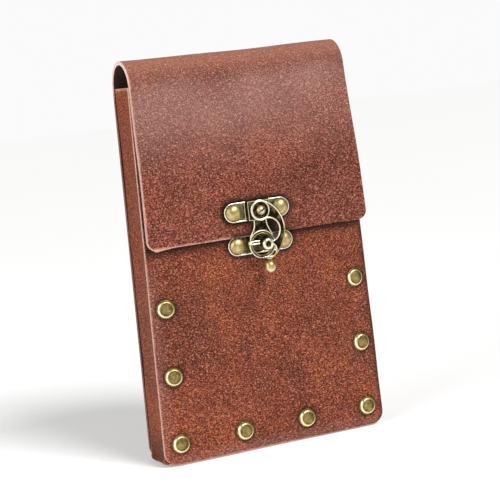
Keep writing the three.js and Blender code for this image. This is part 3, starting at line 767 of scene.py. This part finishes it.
# %% [markdown]
# ## Belt loops
# The pouch is worn by two straps riveted to its back, flat at both ends and standing off between them,
# which leaves a passage. Where a strap lifts off the back it keeps the bend of years of wear. The frame's
# origin lies in the middle of the passage, so the straps' middle is at its height.

# %% Belt loops
LOOP_HALF = 28.0
LOOP_TAB = 14.0
LOOP_WIDTH = 25.0
PASSAGE = 6.0
LOOP_FACE = DEPTH + 0.3 + LEATHER


def loop_place_at(centre):
    def place(share, rise):
        x = centre - LOOP_WIDTH / 2 * share
        lifted = smooth(LOOP_HALF + 2, LOOP_HALF - 6, abs(rise))
        y = LOOP_FACE + PASSAGE * lifted - 0.2 * ripple(x, rise, 22, 8) * lifted
        y += 0.3 * (1 - pressed(x, FRAME_HEIGHT + rise, loop_places, 5.5)) * (1 - lifted)
        rim = min(LOOP_WIDTH / 2 * (1 - abs(share)), LOOP_HALF + LOOP_TAB - abs(rise))
        bend = math.exp(-((abs(rise) - LOOP_HALF + 2) / 4) ** 2)
        return (x, y, FRAME_HEIGHT + rise), rim, 0.6 * bend, 0.0, 0.0
    return place


for side, centre in (("left", middle("belt_loop_left").x), ("right", middle("belt_loop_right").x)):
    reach = LOOP_HALF + LOOP_TAB
    loop = leather_sheet(
        spaced(-1, 1, 2 / 14), spaced(-reach, reach, 1.6), loop_place_at(centre), LEATHER, gusset_grain)
    dress(loop, f"belt_loop_strap_{side}", "pouch", "gusset_leather", f"belt_loop_{side}")


# %% [markdown]
# ## Aged brass
# The fittings are plated in antique brass. Hollows keep a dark brown tarnish, and whatever stands proud
# is rubbed to a warm pale gold, whose palest level is near white as a painted highlight. Each vertex says
# how exposed it is in an attribute of its own, which on some pieces also holds painted shade and
# highlight; noise breaks the line between the two so the wear looks handled rather than painted.

# %% Aged brass
brass_group, tree, given, result = new_group(
    "Aged brass",
    [("Vector", "vector"), ("Wear and light", "value"), ("Tarnish", "colour"), ("Metal", "colour"),
     ("Bright", "colour")],
    [("Color", "colour"), ("Roughness", "value"), ("Height", "value")],
)
blotch = tree.noise(given["Vector"], 420.0, 5.0, 0.65, 0.5)
scratch = tree.noise(given["Vector"], 2600.0, 2.0, 0.7)
shown = tree.math("ADD", given["Wear and light"], tree.range(blotch, 0.3, 0.7, -0.16, 0.16), clamp=True)
metal = tree.mix(tree.range(shown, 0.05, 0.55), given["Tarnish"], given["Metal"])
metal = tree.mix(tree.range(shown, 0.5, 0.95), metal, given["Bright"])
tree.link(metal, result["Color"])
rough = tree.range(shown, 0.1, 0.9, 0.5, 0.24)
tree.link(tree.math("MULTIPLY_ADD", scratch, 0.12, rough), result["Roughness"])
tree.link(tree.math("MULTIPLY_ADD", scratch, 0.4, blotch), result["Height"])


def brass(title, tarnish, metal, rubbed_and_highlight):
    material, tree, shader = new_material(title)
    aged = tree.group(brass_group, {
        "Vector": tree.place(), "Wear and light": tree.attribute("wear_and_light"),
        "Tarnish": tarnish, "Metal": metal, "Bright": rubbed_and_highlight,
    })
    tree.link(aged["Color"], shader.inputs["Base Color"])
    tree.link(aged["Roughness"], shader.inputs["Roughness"])
    tree.bump(shader, 0.5, 0.00012, aged["Height"])
    shader.inputs["Metallic"].default_value = 1.0
    return material


# The last colour of each is rubbed brass, near white as a painted highlight.
rivet_brass = brass("Rivet brass", colour(88, 74, 38), colour(204, 184, 120), colour(255, 240, 200))
clasp_brass = brass("Clasp brass", colour(34, 27, 18), colour(196, 176, 116), colour(255, 246, 222))
print("brasses:", rivet_brass.name, clasp_brass.name)


# %% [markdown]
# ## Turned pieces
# Caps, studs and domes are turned work. The half profile is drawn as a chain of points, by extruding one
# point from the next, and Spin carries it once round the axis. Each point also gives its level of wear,
# which on some pieces holds painted highlight and shade too.

# %% Turned pieces
WELD = 2e-6


def spin_round(centre, steps):
    """Carries the open mesh once round an axis along y, and closes its seam."""
    bpy.ops.mesh.select_all(action="SELECT")
    bpy.ops.mesh.spin(steps=steps, angle=2 * math.pi, center=centre, axis=(0, 1, 0))
    bpy.ops.mesh.select_all(action="SELECT")
    bpy.ops.mesh.remove_doubles(threshold=WELD)
    bpy.ops.mesh.normals_make_consistent(inside=False)
    leave()


def set_wear_and_light(piece, value_at, material):
    """value_at(vertex) gives the level of wear, on some pieces with painted light and shade, from 0 to 1.
    """
    mesh = piece.data
    wear = mesh.attributes.new("wear_and_light", "FLOAT", "POINT")
    wear.data.foreach_set("value", [value_at(vertex) for vertex in mesh.vertices])
    mesh.materials.clear()
    mesh.materials.append(material)
    return piece


def turned(profile, x, y, z, sides, material):
    """profile holds (radius, reach, level of wear and painted light) in millimetres, reach being measured
    out towards the viewer.
    """
    alone()
    bpy.ops.mesh.primitive_plane_add(size=0.001)
    piece = bpy.context.object
    centre = at(x, y, z)
    chain = [centre + Vector((radius * MM, -reach * MM, 0)) for radius, reach, wear_and_light in profile]
    edit()
    bpy.ops.mesh.merge(type="CENTER")
    bpy.ops.transform.translate(value=chain[0])
    for before, after in zip(chain, chain[1:]):
        bpy.ops.mesh.extrude_region_move(TRANSFORM_OT_translate={"value": after - before})
    spin_round(centre, sides)

    def wear_and_light_at(vertex):
        radius = math.hypot(vertex.co.x - centre.x, vertex.co.z - centre.z) / MM
        reach = (centre.y - vertex.co.y) / MM
        return min(profile, key=lambda point: (point[0] - radius) ** 2 + (point[1] - reach) ** 2)[2]
    return shade(set_wear_and_light(piece, wear_and_light_at, material), 42)


# %% [markdown]
# ## Rivets
# A cap is pressed from sheet: a sloping ring painted bright as a highlight, a shallow groove, a nearly flat
# middle that stays dark, and a dark foot ring painted as the cap's shadow on the leather. One rivet is
# turned at the origin, and every other is a copy with its own mesh set at the place of its solid, each
# turned a little otherwise so no two scratches match. The front caps follow the panel's crown: they are
# lifted and tilted with it, and are painted duller towards their upper right as shade. Those on the back
# face the other way.

# %% Rivets
# The ring is painted bright as a highlight; the last two points are a dark foot ring, painted shadow.
CAP = [
    (0.0, 1.98, 0.30), (1.3, 1.96, 0.28), (2.5, 1.86, 0.22), (3.2, 1.70, 0.15), (3.5, 1.56, 0.10),
    (3.72, 1.60, 0.55), (3.95, 1.58, 0.95), (4.3, 1.36, 1.0), (4.66, 0.98, 0.95), (4.9, 0.55, 0.8),
    (5.0, 0.2, 0.35), (5.3, 0.05, 0.0), (5.2, 0.0, 0.0),
]
CAP_HEIGHT = 2.0
CAP_REACH = 5.4


def rivet_shape(grip):
    back = [(1.7, 0.0, 0.0), (1.7, -grip, 0.0), (3.5, -grip, 0.3), (3.8, -grip - 0.2, 0.7)]
    back += [(3.7, -grip - 0.6, 0.8), (3.4, -grip - 0.7, 0.6), (0.0, -grip - 0.7, 0.4)]
    return turned(CAP + back, 0, 0, 0, 32, rivet_brass)


def own_turn(node):
    return sum(ord(letter) for letter in node) * 0.37


def tilt_and_shade_cap(mesh, x, z):
    """Paints a cap duller towards its upper right as shade, and tilts it with the panel."""
    wear_and_light = mesh.attributes["wear_and_light"].data
    for vertex in mesh.vertices:
        upper_right = (vertex.co.x + vertex.co.z) / (CAP_REACH * MM)
        wear_and_light[vertex.index].value *= 1 - 0.55 * smooth(-0.3, 1.0, upper_right)
    tilt = math.atan((panel_crown(x - 1, z) - panel_crown(x + 1, z)) / 2)
    mesh.transform(Matrix.Rotation(tilt, 4, "Z"))


def set_rivets(model, nodes, faces_back):
    for node in nodes:
        low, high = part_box(node)
        spot = (low + high) / 2
        copy = model.copy()
        copy.data = mesh = model.data.copy()
        bpy.context.collection.objects.link(copy)
        mesh.transform(Matrix.Translation(-at(0, 0, 0)))
        if faces_back:
            mesh.transform(Matrix.Rotation(math.pi, 4, "X"))
        mesh.transform(Matrix.Rotation(own_turn(node), 4, "Y"))
        if faces_back:
            spot.y = high.y - CAP_HEIGHT * MM
        else:
            x, z = middle(node).x, middle(node).z
            tilt_and_shade_cap(mesh, x, z)
            spot.y = low.y + (CAP_HEIGHT - panel_crown(x, z)) * MM
        mesh.transform(Matrix.Translation(spot))
        dress(copy, node + "_cap", "pouch", "rivet_brass", node)


flange_rivet = rivet_shape(4.7)
set_rivets(flange_rivet, front_rivets, False)
set_rivets(flange_rivet, back_rivets, True)
loop_rivet = rivet_shape(4.9)
set_rivets(loop_rivet, loop_rivets, True)
for model in (flange_rivet, loop_rivet):
    bpy.data.objects.remove(model)

# %% [markdown]
# ## Clasp plates and their raised borders
# The clasp is cast: flat plates with a fine raised border all round, like a wire laid on the edge. A
# plate is a disc whose corners are drawn out to the outline and raised to its thickness. The border is
# the same outline once more, turned into a round wire and joined on. An outline is a list of (x, z).

# %% Outlines
def arc(x, z, radius, start, end, steps):
    turns = [start + (end - start) * i / steps for i in range(steps + 1)]
    return [(x + radius * math.cos(a), z + radius * math.sin(a)) for a in turns]


def stadium(x, z, radius, spread=PLATE_SPREAD):
    right = arc(x + spread, z, radius, -math.pi / 2, math.pi / 2, 20)
    return right + arc(x - spread, z, radius, math.pi / 2, 1.5 * math.pi, 20)


def circle(x, z, radius, steps=48):
    return arc(x, z, radius, 0, 2 * math.pi, steps)[:-1]


def box_outline(left, right, low, high):
    return [(left, low), (right, low), (right, high), (left, high)]


def cut_off(outline, top):
    return [(x, min(z, top)) for x, z in outline]


# %% Plates
def plate(outline, back, front, wear_and_light=0.16, edge=0.15):
    alone()
    bpy.ops.mesh.primitive_circle_add(vertices=len(outline), radius=0.01, fill_type="NGON")
    piece = bpy.context.object
    for vertex, (x, z) in zip(piece.data.vertices, outline):
        vertex.co = at(x, back, z)
    edit()
    bpy.ops.mesh.extrude_region_move(TRANSFORM_OT_translate={"value": (0, (front - back) * MM, 0)})
    bpy.ops.mesh.select_all(action="SELECT")
    bpy.ops.mesh.normals_make_consistent(inside=False)
    leave()
    if edge:
        apply(piece, "BEVEL", "soft edge", width=edge * MM, segments=2, limit_method="ANGLE",
              angle_limit=math.radians(50))
    return set_wear_and_light(piece, lambda vertex: wear_and_light, clasp_brass)


# %% Wires and borders
def round_wire(radius, wear_and_light):
    """Turns the edges of the active piece into a round wire."""
    bpy.ops.object.convert(target="CURVE")
    curve = bpy.context.object.data
    curve.bevel_depth = radius * MM
    curve.bevel_resolution = 3
    curve.use_fill_caps = True
    bpy.ops.object.convert(target="MESH")
    return set_wear_and_light(bpy.context.object, lambda vertex: wear_and_light, clasp_brass)


def wire(points, radius, wear_and_light=0.9, closed=False):
    """A round wire along points in millimetres; two points get a third between them."""
    if len(points) == 2:
        points = [points[0], tuple((a + b) / 2 for a, b in zip(*points)), points[1]]
    alone()
    bpy.ops.mesh.primitive_circle_add(vertices=len(points), radius=0.01, fill_type="NOTHING")
    piece = bpy.context.object
    for vertex, point in zip(piece.data.vertices, points):
        vertex.co = at(*point)
    if not closed:
        ends = {0, len(points) - 1}
        edit("DESELECT")
        leave()
        for vertex in piece.data.vertices:
            vertex.select = vertex.index in ends
        for edge in piece.data.edges:
            edge.select = set(edge.vertices) == ends
        bpy.ops.object.mode_set(mode="EDIT")
        bpy.ops.mesh.select_mode(type="EDGE")
        bpy.ops.mesh.delete(type="EDGE")
        bpy.ops.mesh.select_mode(type="VERT")
        leave()
    return round_wire(radius, wear_and_light)


def border(outline, y, radius=0.5, wear_and_light=0.95):
    return wire([(x, y, z) for x, z in outline], radius, wear_and_light, closed=True)


def joined(parts, degrees=38):
    alone(parts[0])
    for part in parts[1:]:
        part.select_set(True)
    bpy.ops.object.join()
    return shade(bpy.context.object, degrees)


# %% [markdown]
# ## Upper plate
# The upper plate is riveted to the flap. It carries a raised pad under the lever's head, a tongue down
# to the hasp ring, and across the ring a short bar that ends in a bead.

# %% Upper plate
SHADOW_FOOT = 0.55
UPPER_BACK = -6.1
UPPER_FRONT = -7.3
PAD_FRONT = -10.3
PLATE_RADIUS = 5.5
PAD_HALF = 6.7
PAD_HIGH = 5.5
PAD_INSET = 0.4
HASP = 7.9
HASP_EYE = 5.9
BORDER = 0.5
TONGUE_FACE = UPPER_FRONT + 0.3
TONGUE_LEFT = [(-3.2, 14.5), (-3.2, 11.5), (-3.4, 9.5), (-4.2, 7.6), (-5.6, 5.6), (-6.4, 3.6)]
TONGUE_RIGHT = [(4.6, 14.5), (4.6, 11.5), (5.0, 9.5), (5.9, 7.4), (7.0, 5.4), (7.6, 3.6)]

px, pz = PIVOT
sx, sz = STUD


def pad(inset):
    wide = PAD_HALF - inset
    high = PAD_HIGH - inset
    return box_outline(px - wide, px + wide, pz - high, pz + high)


upper = [
    plate(stadium(px, pz, PLATE_RADIUS), UPPER_BACK, UPPER_FRONT + 0.35),
    # A dark foot round the plate, painted as its shadow on the leather.
    plate(stadium(px, pz, PLATE_RADIUS + SHADOW_FOOT), UPPER_BACK, UPPER_BACK - 0.3, 0.0, 0.1),
    border(stadium(px, pz, PLATE_RADIUS - BORDER), UPPER_FRONT + BORDER),
    plate(pad(0.0), UPPER_BACK, PAD_FRONT + 0.3, 0.1, 0.3),
    border(pad(PAD_INSET), PAD_FRONT + 0.36, 0.36, 0.85),
    plate([(x, sz + z) for x, z in TONGUE_LEFT + TONGUE_RIGHT[::-1]], UPPER_BACK, TONGUE_FACE, 0.08),
]
for side in (-1, 1):
    x = px + side * (PAD_HALF + 0.5)
    upper.append(wire([(x, UPPER_FRONT + 0.1, pz + step) for step in (-5.0, 5.0)], 0.32, 0.8))
for inwards, side_line in ((0.3, TONGUE_LEFT), (-0.3, TONGUE_RIGHT)):
    upper.append(wire([(x + inwards, TONGUE_FACE, sz + z) for x, z in side_line], 0.4))
print("parts of the upper plate:", len(upper))


# %% [markdown]
# The hasp ring is flat with a border on both rims. It is turned, so its half profile is a small closed
# loop: out along the front, back along the rear.

# %% Hasp ring, bar and bead
RING_X = sx - 0.7
RING_Z = sz - 0.4
BAR_Z = sz + 1.0
BAR_START = sx - HASP
BAR_END = sx - 2.6
BEAD = [
    (0, 1.5, 0.9), (0.75, 1.25, 0.9), (1.25, 0.7, 0.8), (1.45, 0, 0.6), (1.25, -0.8, 0.2), (0, -1.0, 0.1),
]


def ring(x, z, inner, outer, back, front):
    alone()
    bpy.ops.mesh.primitive_plane_add(size=0.001)
    piece = bpy.context.object
    corners = [(inner, back), (outer, back), (inner, front), (outer, front)]
    for vertex, (radius, y) in zip(piece.data.vertices, corners):
        vertex.co = at(x + radius, y, z)
    edit()
    bpy.ops.mesh.delete(type="ONLY_FACE")
    spin_round(at(x, 0, z), 56)
    return set_wear_and_light(piece, lambda vertex: 0.15, clasp_brass)


upper += [
    ring(RING_X, RING_Z, HASP_EYE, HASP, UPPER_BACK, UPPER_FRONT + 0.3),
    border(circle(RING_X, RING_Z, HASP - 0.42), UPPER_FRONT + 0.34, 0.42, 1.0),
    border(circle(RING_X, RING_Z, HASP_EYE + 0.3), UPPER_FRONT + 0.34, 0.3, 0.5),
    plate(box_outline(BAR_START, BAR_END, BAR_Z - 0.9, BAR_Z + 0.9), UPPER_BACK, UPPER_FRONT - 0.3, 0.1),
]
for step in (0.75, -0.75):
    bar_line = [(x, UPPER_FRONT - 0.35, BAR_Z + step) for x in (BAR_START, BAR_END)]
    upper.append(wire(bar_line, 0.45, 1.0))
upper.append(turned(BEAD, BAR_START, UPPER_FRONT + 0.1, BAR_Z, 20, clasp_brass))
upper_plate = joined(upper)
dress(upper_plate, "upper_clasp_plate", "pouch", "clasp_brass", "clasp_upper_plate")

# %% [markdown]
# ## Lower plate and keeper stud
# The lower plate is riveted to the panel, just under the flap's edge, which cuts off its dark foot, a
# painted shadow. A dark disc under the hasp's eye is painted shade that keeps it black there. The stud
# comes out through the hasp ring; the lever's tooth catches behind its head, which is a rim with a dimple
# in it.

# %% Lower plate
LOWER_BACK = -2.1
LOWER_FRONT = -3.3
STUD_REACH = 14.3
NECK_REACH = 12.7
NECK = 1.7
STUD_PROFILE = [
    (0.0, STUD_REACH - 0.9, 0.0), (1.0, STUD_REACH - 0.8, 0.0), (1.6, STUD_REACH - 0.35, 0.2),
    (1.9, STUD_REACH, 0.95), (2.5, STUD_REACH, 1.0), (3.0, STUD_REACH - 0.3, 0.95),
    (3.25, STUD_REACH - 0.75, 0.8), (3.25, NECK_REACH, 0.4), (NECK, NECK_REACH, 0.05),
    (NECK, -LOWER_FRONT, 0.05), (NECK, -LOWER_BACK - 0.2, 0.0), (0.0, -LOWER_BACK - 0.2, 0.0),
]
# The dark foot is painted shadow, and the dark disc is painted shade.
shadow_foot_outline = cut_off(stadium(sx, sz, PLATE_RADIUS + SHADOW_FOOT), sz + PLATE_RADIUS)
shade_disc_outline = cut_off(circle(RING_X, RING_Z, HASP_EYE + 0.7), sz + PLATE_RADIUS)
lower_plate = joined([
    plate(stadium(sx, sz, PLATE_RADIUS), LOWER_BACK, LOWER_FRONT + 0.35),
    plate(shadow_foot_outline, LOWER_BACK, LOWER_BACK - 0.3, 0.0, 0),
    plate(shade_disc_outline, LOWER_BACK, LOWER_BACK - 0.6, 0.0, 0),
    border(stadium(sx, sz, PLATE_RADIUS - BORDER), LOWER_FRONT + BORDER),
    turned(STUD_PROFILE, sx, 0, sz, 36, clasp_brass),
])
dress(lower_plate, "lower_clasp_plate", "pouch", "clasp_brass", "clasp_lower_plate")

# %% [markdown]
# ## Domed clasp rivets
# Four high domes hold the plates. Their tops are handled all day and stay a yellow olive; the foot of
# each dome keeps a dark line.

# %% Domes
DOME = [
    (0.0, 2.6, 0.5), (1.0, 2.54, 0.5), (1.95, 2.34, 0.5), (2.8, 2.0, 0.5), (3.5, 1.55, 0.5),
    (4.05, 1.05, 0.52), (4.4, 0.55, 0.55), (4.62, 0.2, 0.6), (4.7, 0.0, 0.1),
]
DOME_TAIL = [(1.4, 0.0, 0.0), (1.4, -4.1, 0.0), (2.6, -4.1, 0.4), (2.6, -4.7, 0.4), (0.0, -4.7, 0.4)]
for level, (cx, cz), face in (("upper", PIVOT, UPPER_FRONT), ("lower", STUD, LOWER_FRONT)):
    for side, step in (("left", -PLATE_SPREAD), ("right", PLATE_SPREAD)):
        dome = turned(DOME + DOME_TAIL, cx + step, face - 0.3, cz, 36, clasp_brass)
        dress(dome, f"clasp_dome_{level}_{side}", "pouch", "clasp_brass", f"clasp_boss_{level}_{side}")

# %% [markdown]
# ## Lever
# The lever is a crescent that hangs from the pivot: one long arc outside and two round bites inside
# that leave a cusp between them. A blank is cut to the outer line and the bites are taken with Boolean,
# as a file would take them. Such levers are cast in many sizes to one pattern, so their measures are
# shares of the drop from pivot to stud, and `hang` gives a point of the pattern.

# %% Lever blank
LEVER_BACK = -10.6
LEVER_FRONT = -12.4
LEVER_FACE = LEVER_FRONT + 0.4
DROP = pz - sz
ARC_RADIUS = 0.93 * DROP


def hang(right, down):
    return px + right * DROP, pz - down * DROP


def boolean(piece, tool, operation):
    apply(piece, "BOOLEAN", operation.lower(), object=tool, operation=operation, solver="EXACT")
    bpy.data.objects.remove(tool)


blank = [(px, pz + 3.24)] + arc(*hang(-0.24, 0.6), ARC_RADIUS, 1.1, -1.15, 40)
blank += [hang(0.06, 1.42), hang(0.25, 0.98), (px, pz - 3.24)]
lever = plate(blank, LEVER_BACK, LEVER_FACE, 0.1, 0)
for spot, radius, steps in ((hang(0.19, 0.6), 0.36, 64), (hang(0.175, 1.19), 0.2, 48)):
    bite = plate(circle(*spot, radius * DROP, steps), LEVER_BACK + 1, LEVER_FRONT - 1, 0.1, 0)
    boolean(lever, bite, "DIFFERENCE")
boolean(lever, plate(circle(px, pz, 5.4), LEVER_BACK, LEVER_FACE, 0.1, 0), "UNION")
print("lever blank:", len(lever.data.polygons), "faces")


# %% [markdown]
# The border follows the edge that the bites have left, so it is found on the mesh: the edges between the
# lever's front face and its sides are copied out, turned into a curve and given a round section.

# %% Lever border
def edge_wire(piece, y, radius):
    alone(piece)
    bpy.ops.object.duplicate()
    mesh = bpy.context.object.data
    level = at(0, y, 0).y
    near = {vertex.index for vertex in mesh.vertices if abs(vertex.co.y - level) < 2e-5}
    sides = {}
    for face in mesh.polygons:
        flat = abs(face.normal.y) > 0.5
        for key in face.edge_keys:
            sides.setdefault(key, set()).add(flat)
    kept = {tuple(sorted(key)) for key, kinds in sides.items() if len(kinds) == 2 and set(key) <= near}
    print("edges of the border:", len(kept), "of", len(mesh.edges))
    edit()
    bpy.ops.mesh.select_mode(type="EDGE")
    bpy.ops.mesh.select_all(action="SELECT")
    bpy.ops.mesh.delete(type="ONLY_FACE")
    bpy.ops.mesh.select_all(action="DESELECT")
    leave()
    for edge in mesh.edges:
        edge.select = tuple(sorted(edge.vertices)) not in kept
    bpy.ops.object.mode_set(mode="EDIT")
    bpy.ops.mesh.delete(type="EDGE")
    bpy.ops.mesh.select_mode(type="VERT")
    bpy.ops.mesh.select_all(action="SELECT")
    bpy.ops.mesh.delete_loose(use_verts=True, use_edges=False, use_faces=False)
    bpy.ops.mesh.select_all(action="SELECT")
    bpy.ops.mesh.remove_doubles(threshold=5e-5)
    leave()
    return round_wire(radius, 1.0)


lever_border = edge_wire(lever, LEVER_FACE, 0.45)
# The outer arc below the head is painted duller as shade.
arc_middle = at(px - 0.24 * DROP, 0, pz - 0.6 * DROP)
for vertex, wear in zip(lever_border.data.vertices, lever_border.data.attributes["wear_and_light"].data):
    outside = (vertex.co - arc_middle).xz.length / MM - 0.88 * DROP
    below_head = smooth(at(0, 0, pz - 8).z, at(0, 0, pz - 12).z, vertex.co.z)
    wear.value = 1 - 0.55 * smooth(0.0, 0.3, outside) * below_head

# %% [markdown]
# A ring round the head, a short tooth for the keeper stud, the neck and the ball at the tail complete the
# lever. The ball is painted duller on top and brightest below, as a painted reflection of the pale floor.

# %% Lever head, tooth and tail
TOOTH_X = sx + 2.0
BALL = 3.6
ball_x, ball_z = hang(0.12, 1.64)
tooth = box_outline(TOOTH_X, px + 0.36 * DROP, sz - 0.4, sz + 1.2)
neck = box_outline(ball_x - 1.1, ball_x + 1.1, ball_z, pz - 1.4 * DROP)
alone()
bpy.ops.mesh.primitive_uv_sphere_add(segments=32, ring_count=20, radius=BALL * MM, scale=(0.95, 0.95, 1.05),
                                     location=at(ball_x, -11.5, ball_z - 0.4))
ball = bpy.context.object
bpy.ops.object.transform_apply(location=True, rotation=True, scale=True)


def ball_painted_reflection(vertex):
    height = (vertex.co.z - at(0, 0, ball_z).z) / (BALL * MM)
    return 0.45 - 0.25 * height + 0.15 * abs(height)


lever_piece = joined([
    lever, lever_border, border(circle(px, pz, 4.95), LEVER_FACE, 0.42, 1.0),
    plate(tooth, LEVER_BACK, LEVER_FACE, 0.6, 0.25), plate(neck, LEVER_BACK, LEVER_FACE, 0.4, 0.3),
    set_wear_and_light(ball, ball_painted_reflection, clasp_brass),
])
dress(lever_piece, "clasp_lever_crescent", "lever", "clasp_brass", "clasp_lever")

# %% [markdown]
# ## Pivot
# The pivot is a low dome inside the lever's ring, on a pin that runs back through the plate. Its head has
# a slanting slot, cut with Boolean by a thin bar.

# %% Pivot
pivot = turned([
    (0.0, 14.3, 0.85), (0.8, 14.22, 0.85), (1.5, 13.95, 0.7), (2.1, 13.5, 0.5), (2.5, 13.1, 0.3),
    (2.7, 12.8, 0.2), (2.75, 12.7, 0.1), (1.6, 12.7, 0.0), (1.6, 6.1, 0.0), (0.0, 6.1, 0.0),
], px, 0, pz, 32, clasp_brass)
slot_outline = [(px - 2.6, pz - 1.3), (px - 2.4, pz - 1.9), (px + 2.6, pz + 1.3), (px + 2.4, pz + 1.9)]
boolean(pivot, plate(slot_outline, -13.5, -15, 0.0, 0), "DIFFERENCE")
dress(pivot, "clasp_pivot_dome", "pouch", "clasp_brass", "clasp_pivot")

# %% [markdown]
# ## Floor
# The pouch is shown on a plain pale floor, just under its lowest point. The floor is not part of the
# pouch. A little light of its own keeps it nearly white.

# %% Floor
FLOOR_GAP = 0.0005

alone()
bpy.ops.mesh.primitive_grid_add(x_subdivisions=8, y_subdivisions=8, size=12, location=(0, 0, 0))
floor = bpy.context.object
floor.name = "floor"
floor.data.transform(Matrix.Translation((0, 0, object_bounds()[0][2] - FLOOR_GAP)))
floor_material, tree, shader = new_material("Pale floor")
pale = tree.mix(tree.noise(tree.place(), 3.0, 2.0), colour(246, 246, 245), colour(250, 250, 249))
tree.link(pale, shader.inputs["Base Color"])
shader.inputs["Roughness"].default_value = 0.75
shader.inputs["Emission Color"].default_value = (1, 1, 1, 1)
shader.inputs["Emission Strength"].default_value = 0.29
floor.data.materials.append(floor_material)
print("floor at", round(floor.data.vertices[0].co.z, 4))

# %% [markdown]
# ## Light
# Soft studio light: a broad, sun-like key from the front, high and a little to the right, lights the fold
# and the caps, and one panel on the left fills the side wall and draws the pale left edges. The world is
# nearly white where the camera sees it, but lights the pouch only weakly, so that folds keep their shade.

# %% Light
KEY_FROM = Vector((0.26, -0.7, 0.66))
PANEL_LIGHT = Vector((-1.1, -0.5, 0.5))

alone()
bpy.ops.object.light_add(type="SUN", rotation=KEY_FROM.to_track_quat("Z", "Y").to_euler())
key = bpy.context.object
key.name = "key from above"
key.data.energy = 2.6
key.data.angle = math.radians(24)
alone()
bpy.ops.object.light_add(type="AREA", location=PANEL_LIGHT)
fill = bpy.context.object
fill.name = "panel on the left"
fill.data.energy = 7
fill.data.size = 0.8
fill.rotation_euler = (at(0, 0, 110) - PANEL_LIGHT).to_track_quat("-Z", "Y").to_euler()
world = bpy.data.worlds.new("studio")
bpy.context.scene.world = world
world.use_nodes = True
sky = Tree(world.node_tree)
background = world.node_tree.nodes["Background"]
background.inputs["Color"].default_value = (1, 1, 1, 1)
seen = sky.node("ShaderNodeLightPath").outputs["Is Camera Ray"]
sky.link(sky.range(seen, 0.0, 1.0, 0.2, 0.96), background.inputs["Strength"])
bpy.context.scene.view_settings.view_transform = "Standard"
print("lights:", key.name, fill.name)

# %% [markdown]
# ## Camera
# The camera looks from the left and a little from above, and leans with the way the pouch hangs. The
# place, the aim and the lean fix it; the lens then fills the frame with the pouch.

# %% Camera
CAMERA_PLACE = at(-327.5, -782.5, 210.9)
CAMERA_AIM = at(-1.0, 8.0, 110.0)
LEAN_UP = Vector((0.16193, 0.10295, 0.98142))
LENS = 111

alone()
bpy.ops.object.camera_add(location=CAMERA_PLACE)
camera = bpy.context.object
camera.name = "camera"
forward = (CAMERA_AIM - CAMERA_PLACE).normalized()
right = forward.cross(LEAN_UP).normalized()
up = right.cross(forward).normalized()
turn = Matrix((right, up, -forward)).transposed().to_4x4()
camera.matrix_world = Matrix.Translation(CAMERA_PLACE) @ turn
camera.data.lens = LENS
camera.data.sensor_width = 36
bpy.context.scene.camera = camera
print("camera at", [round(value, 3) for value in CAMERA_PLACE])
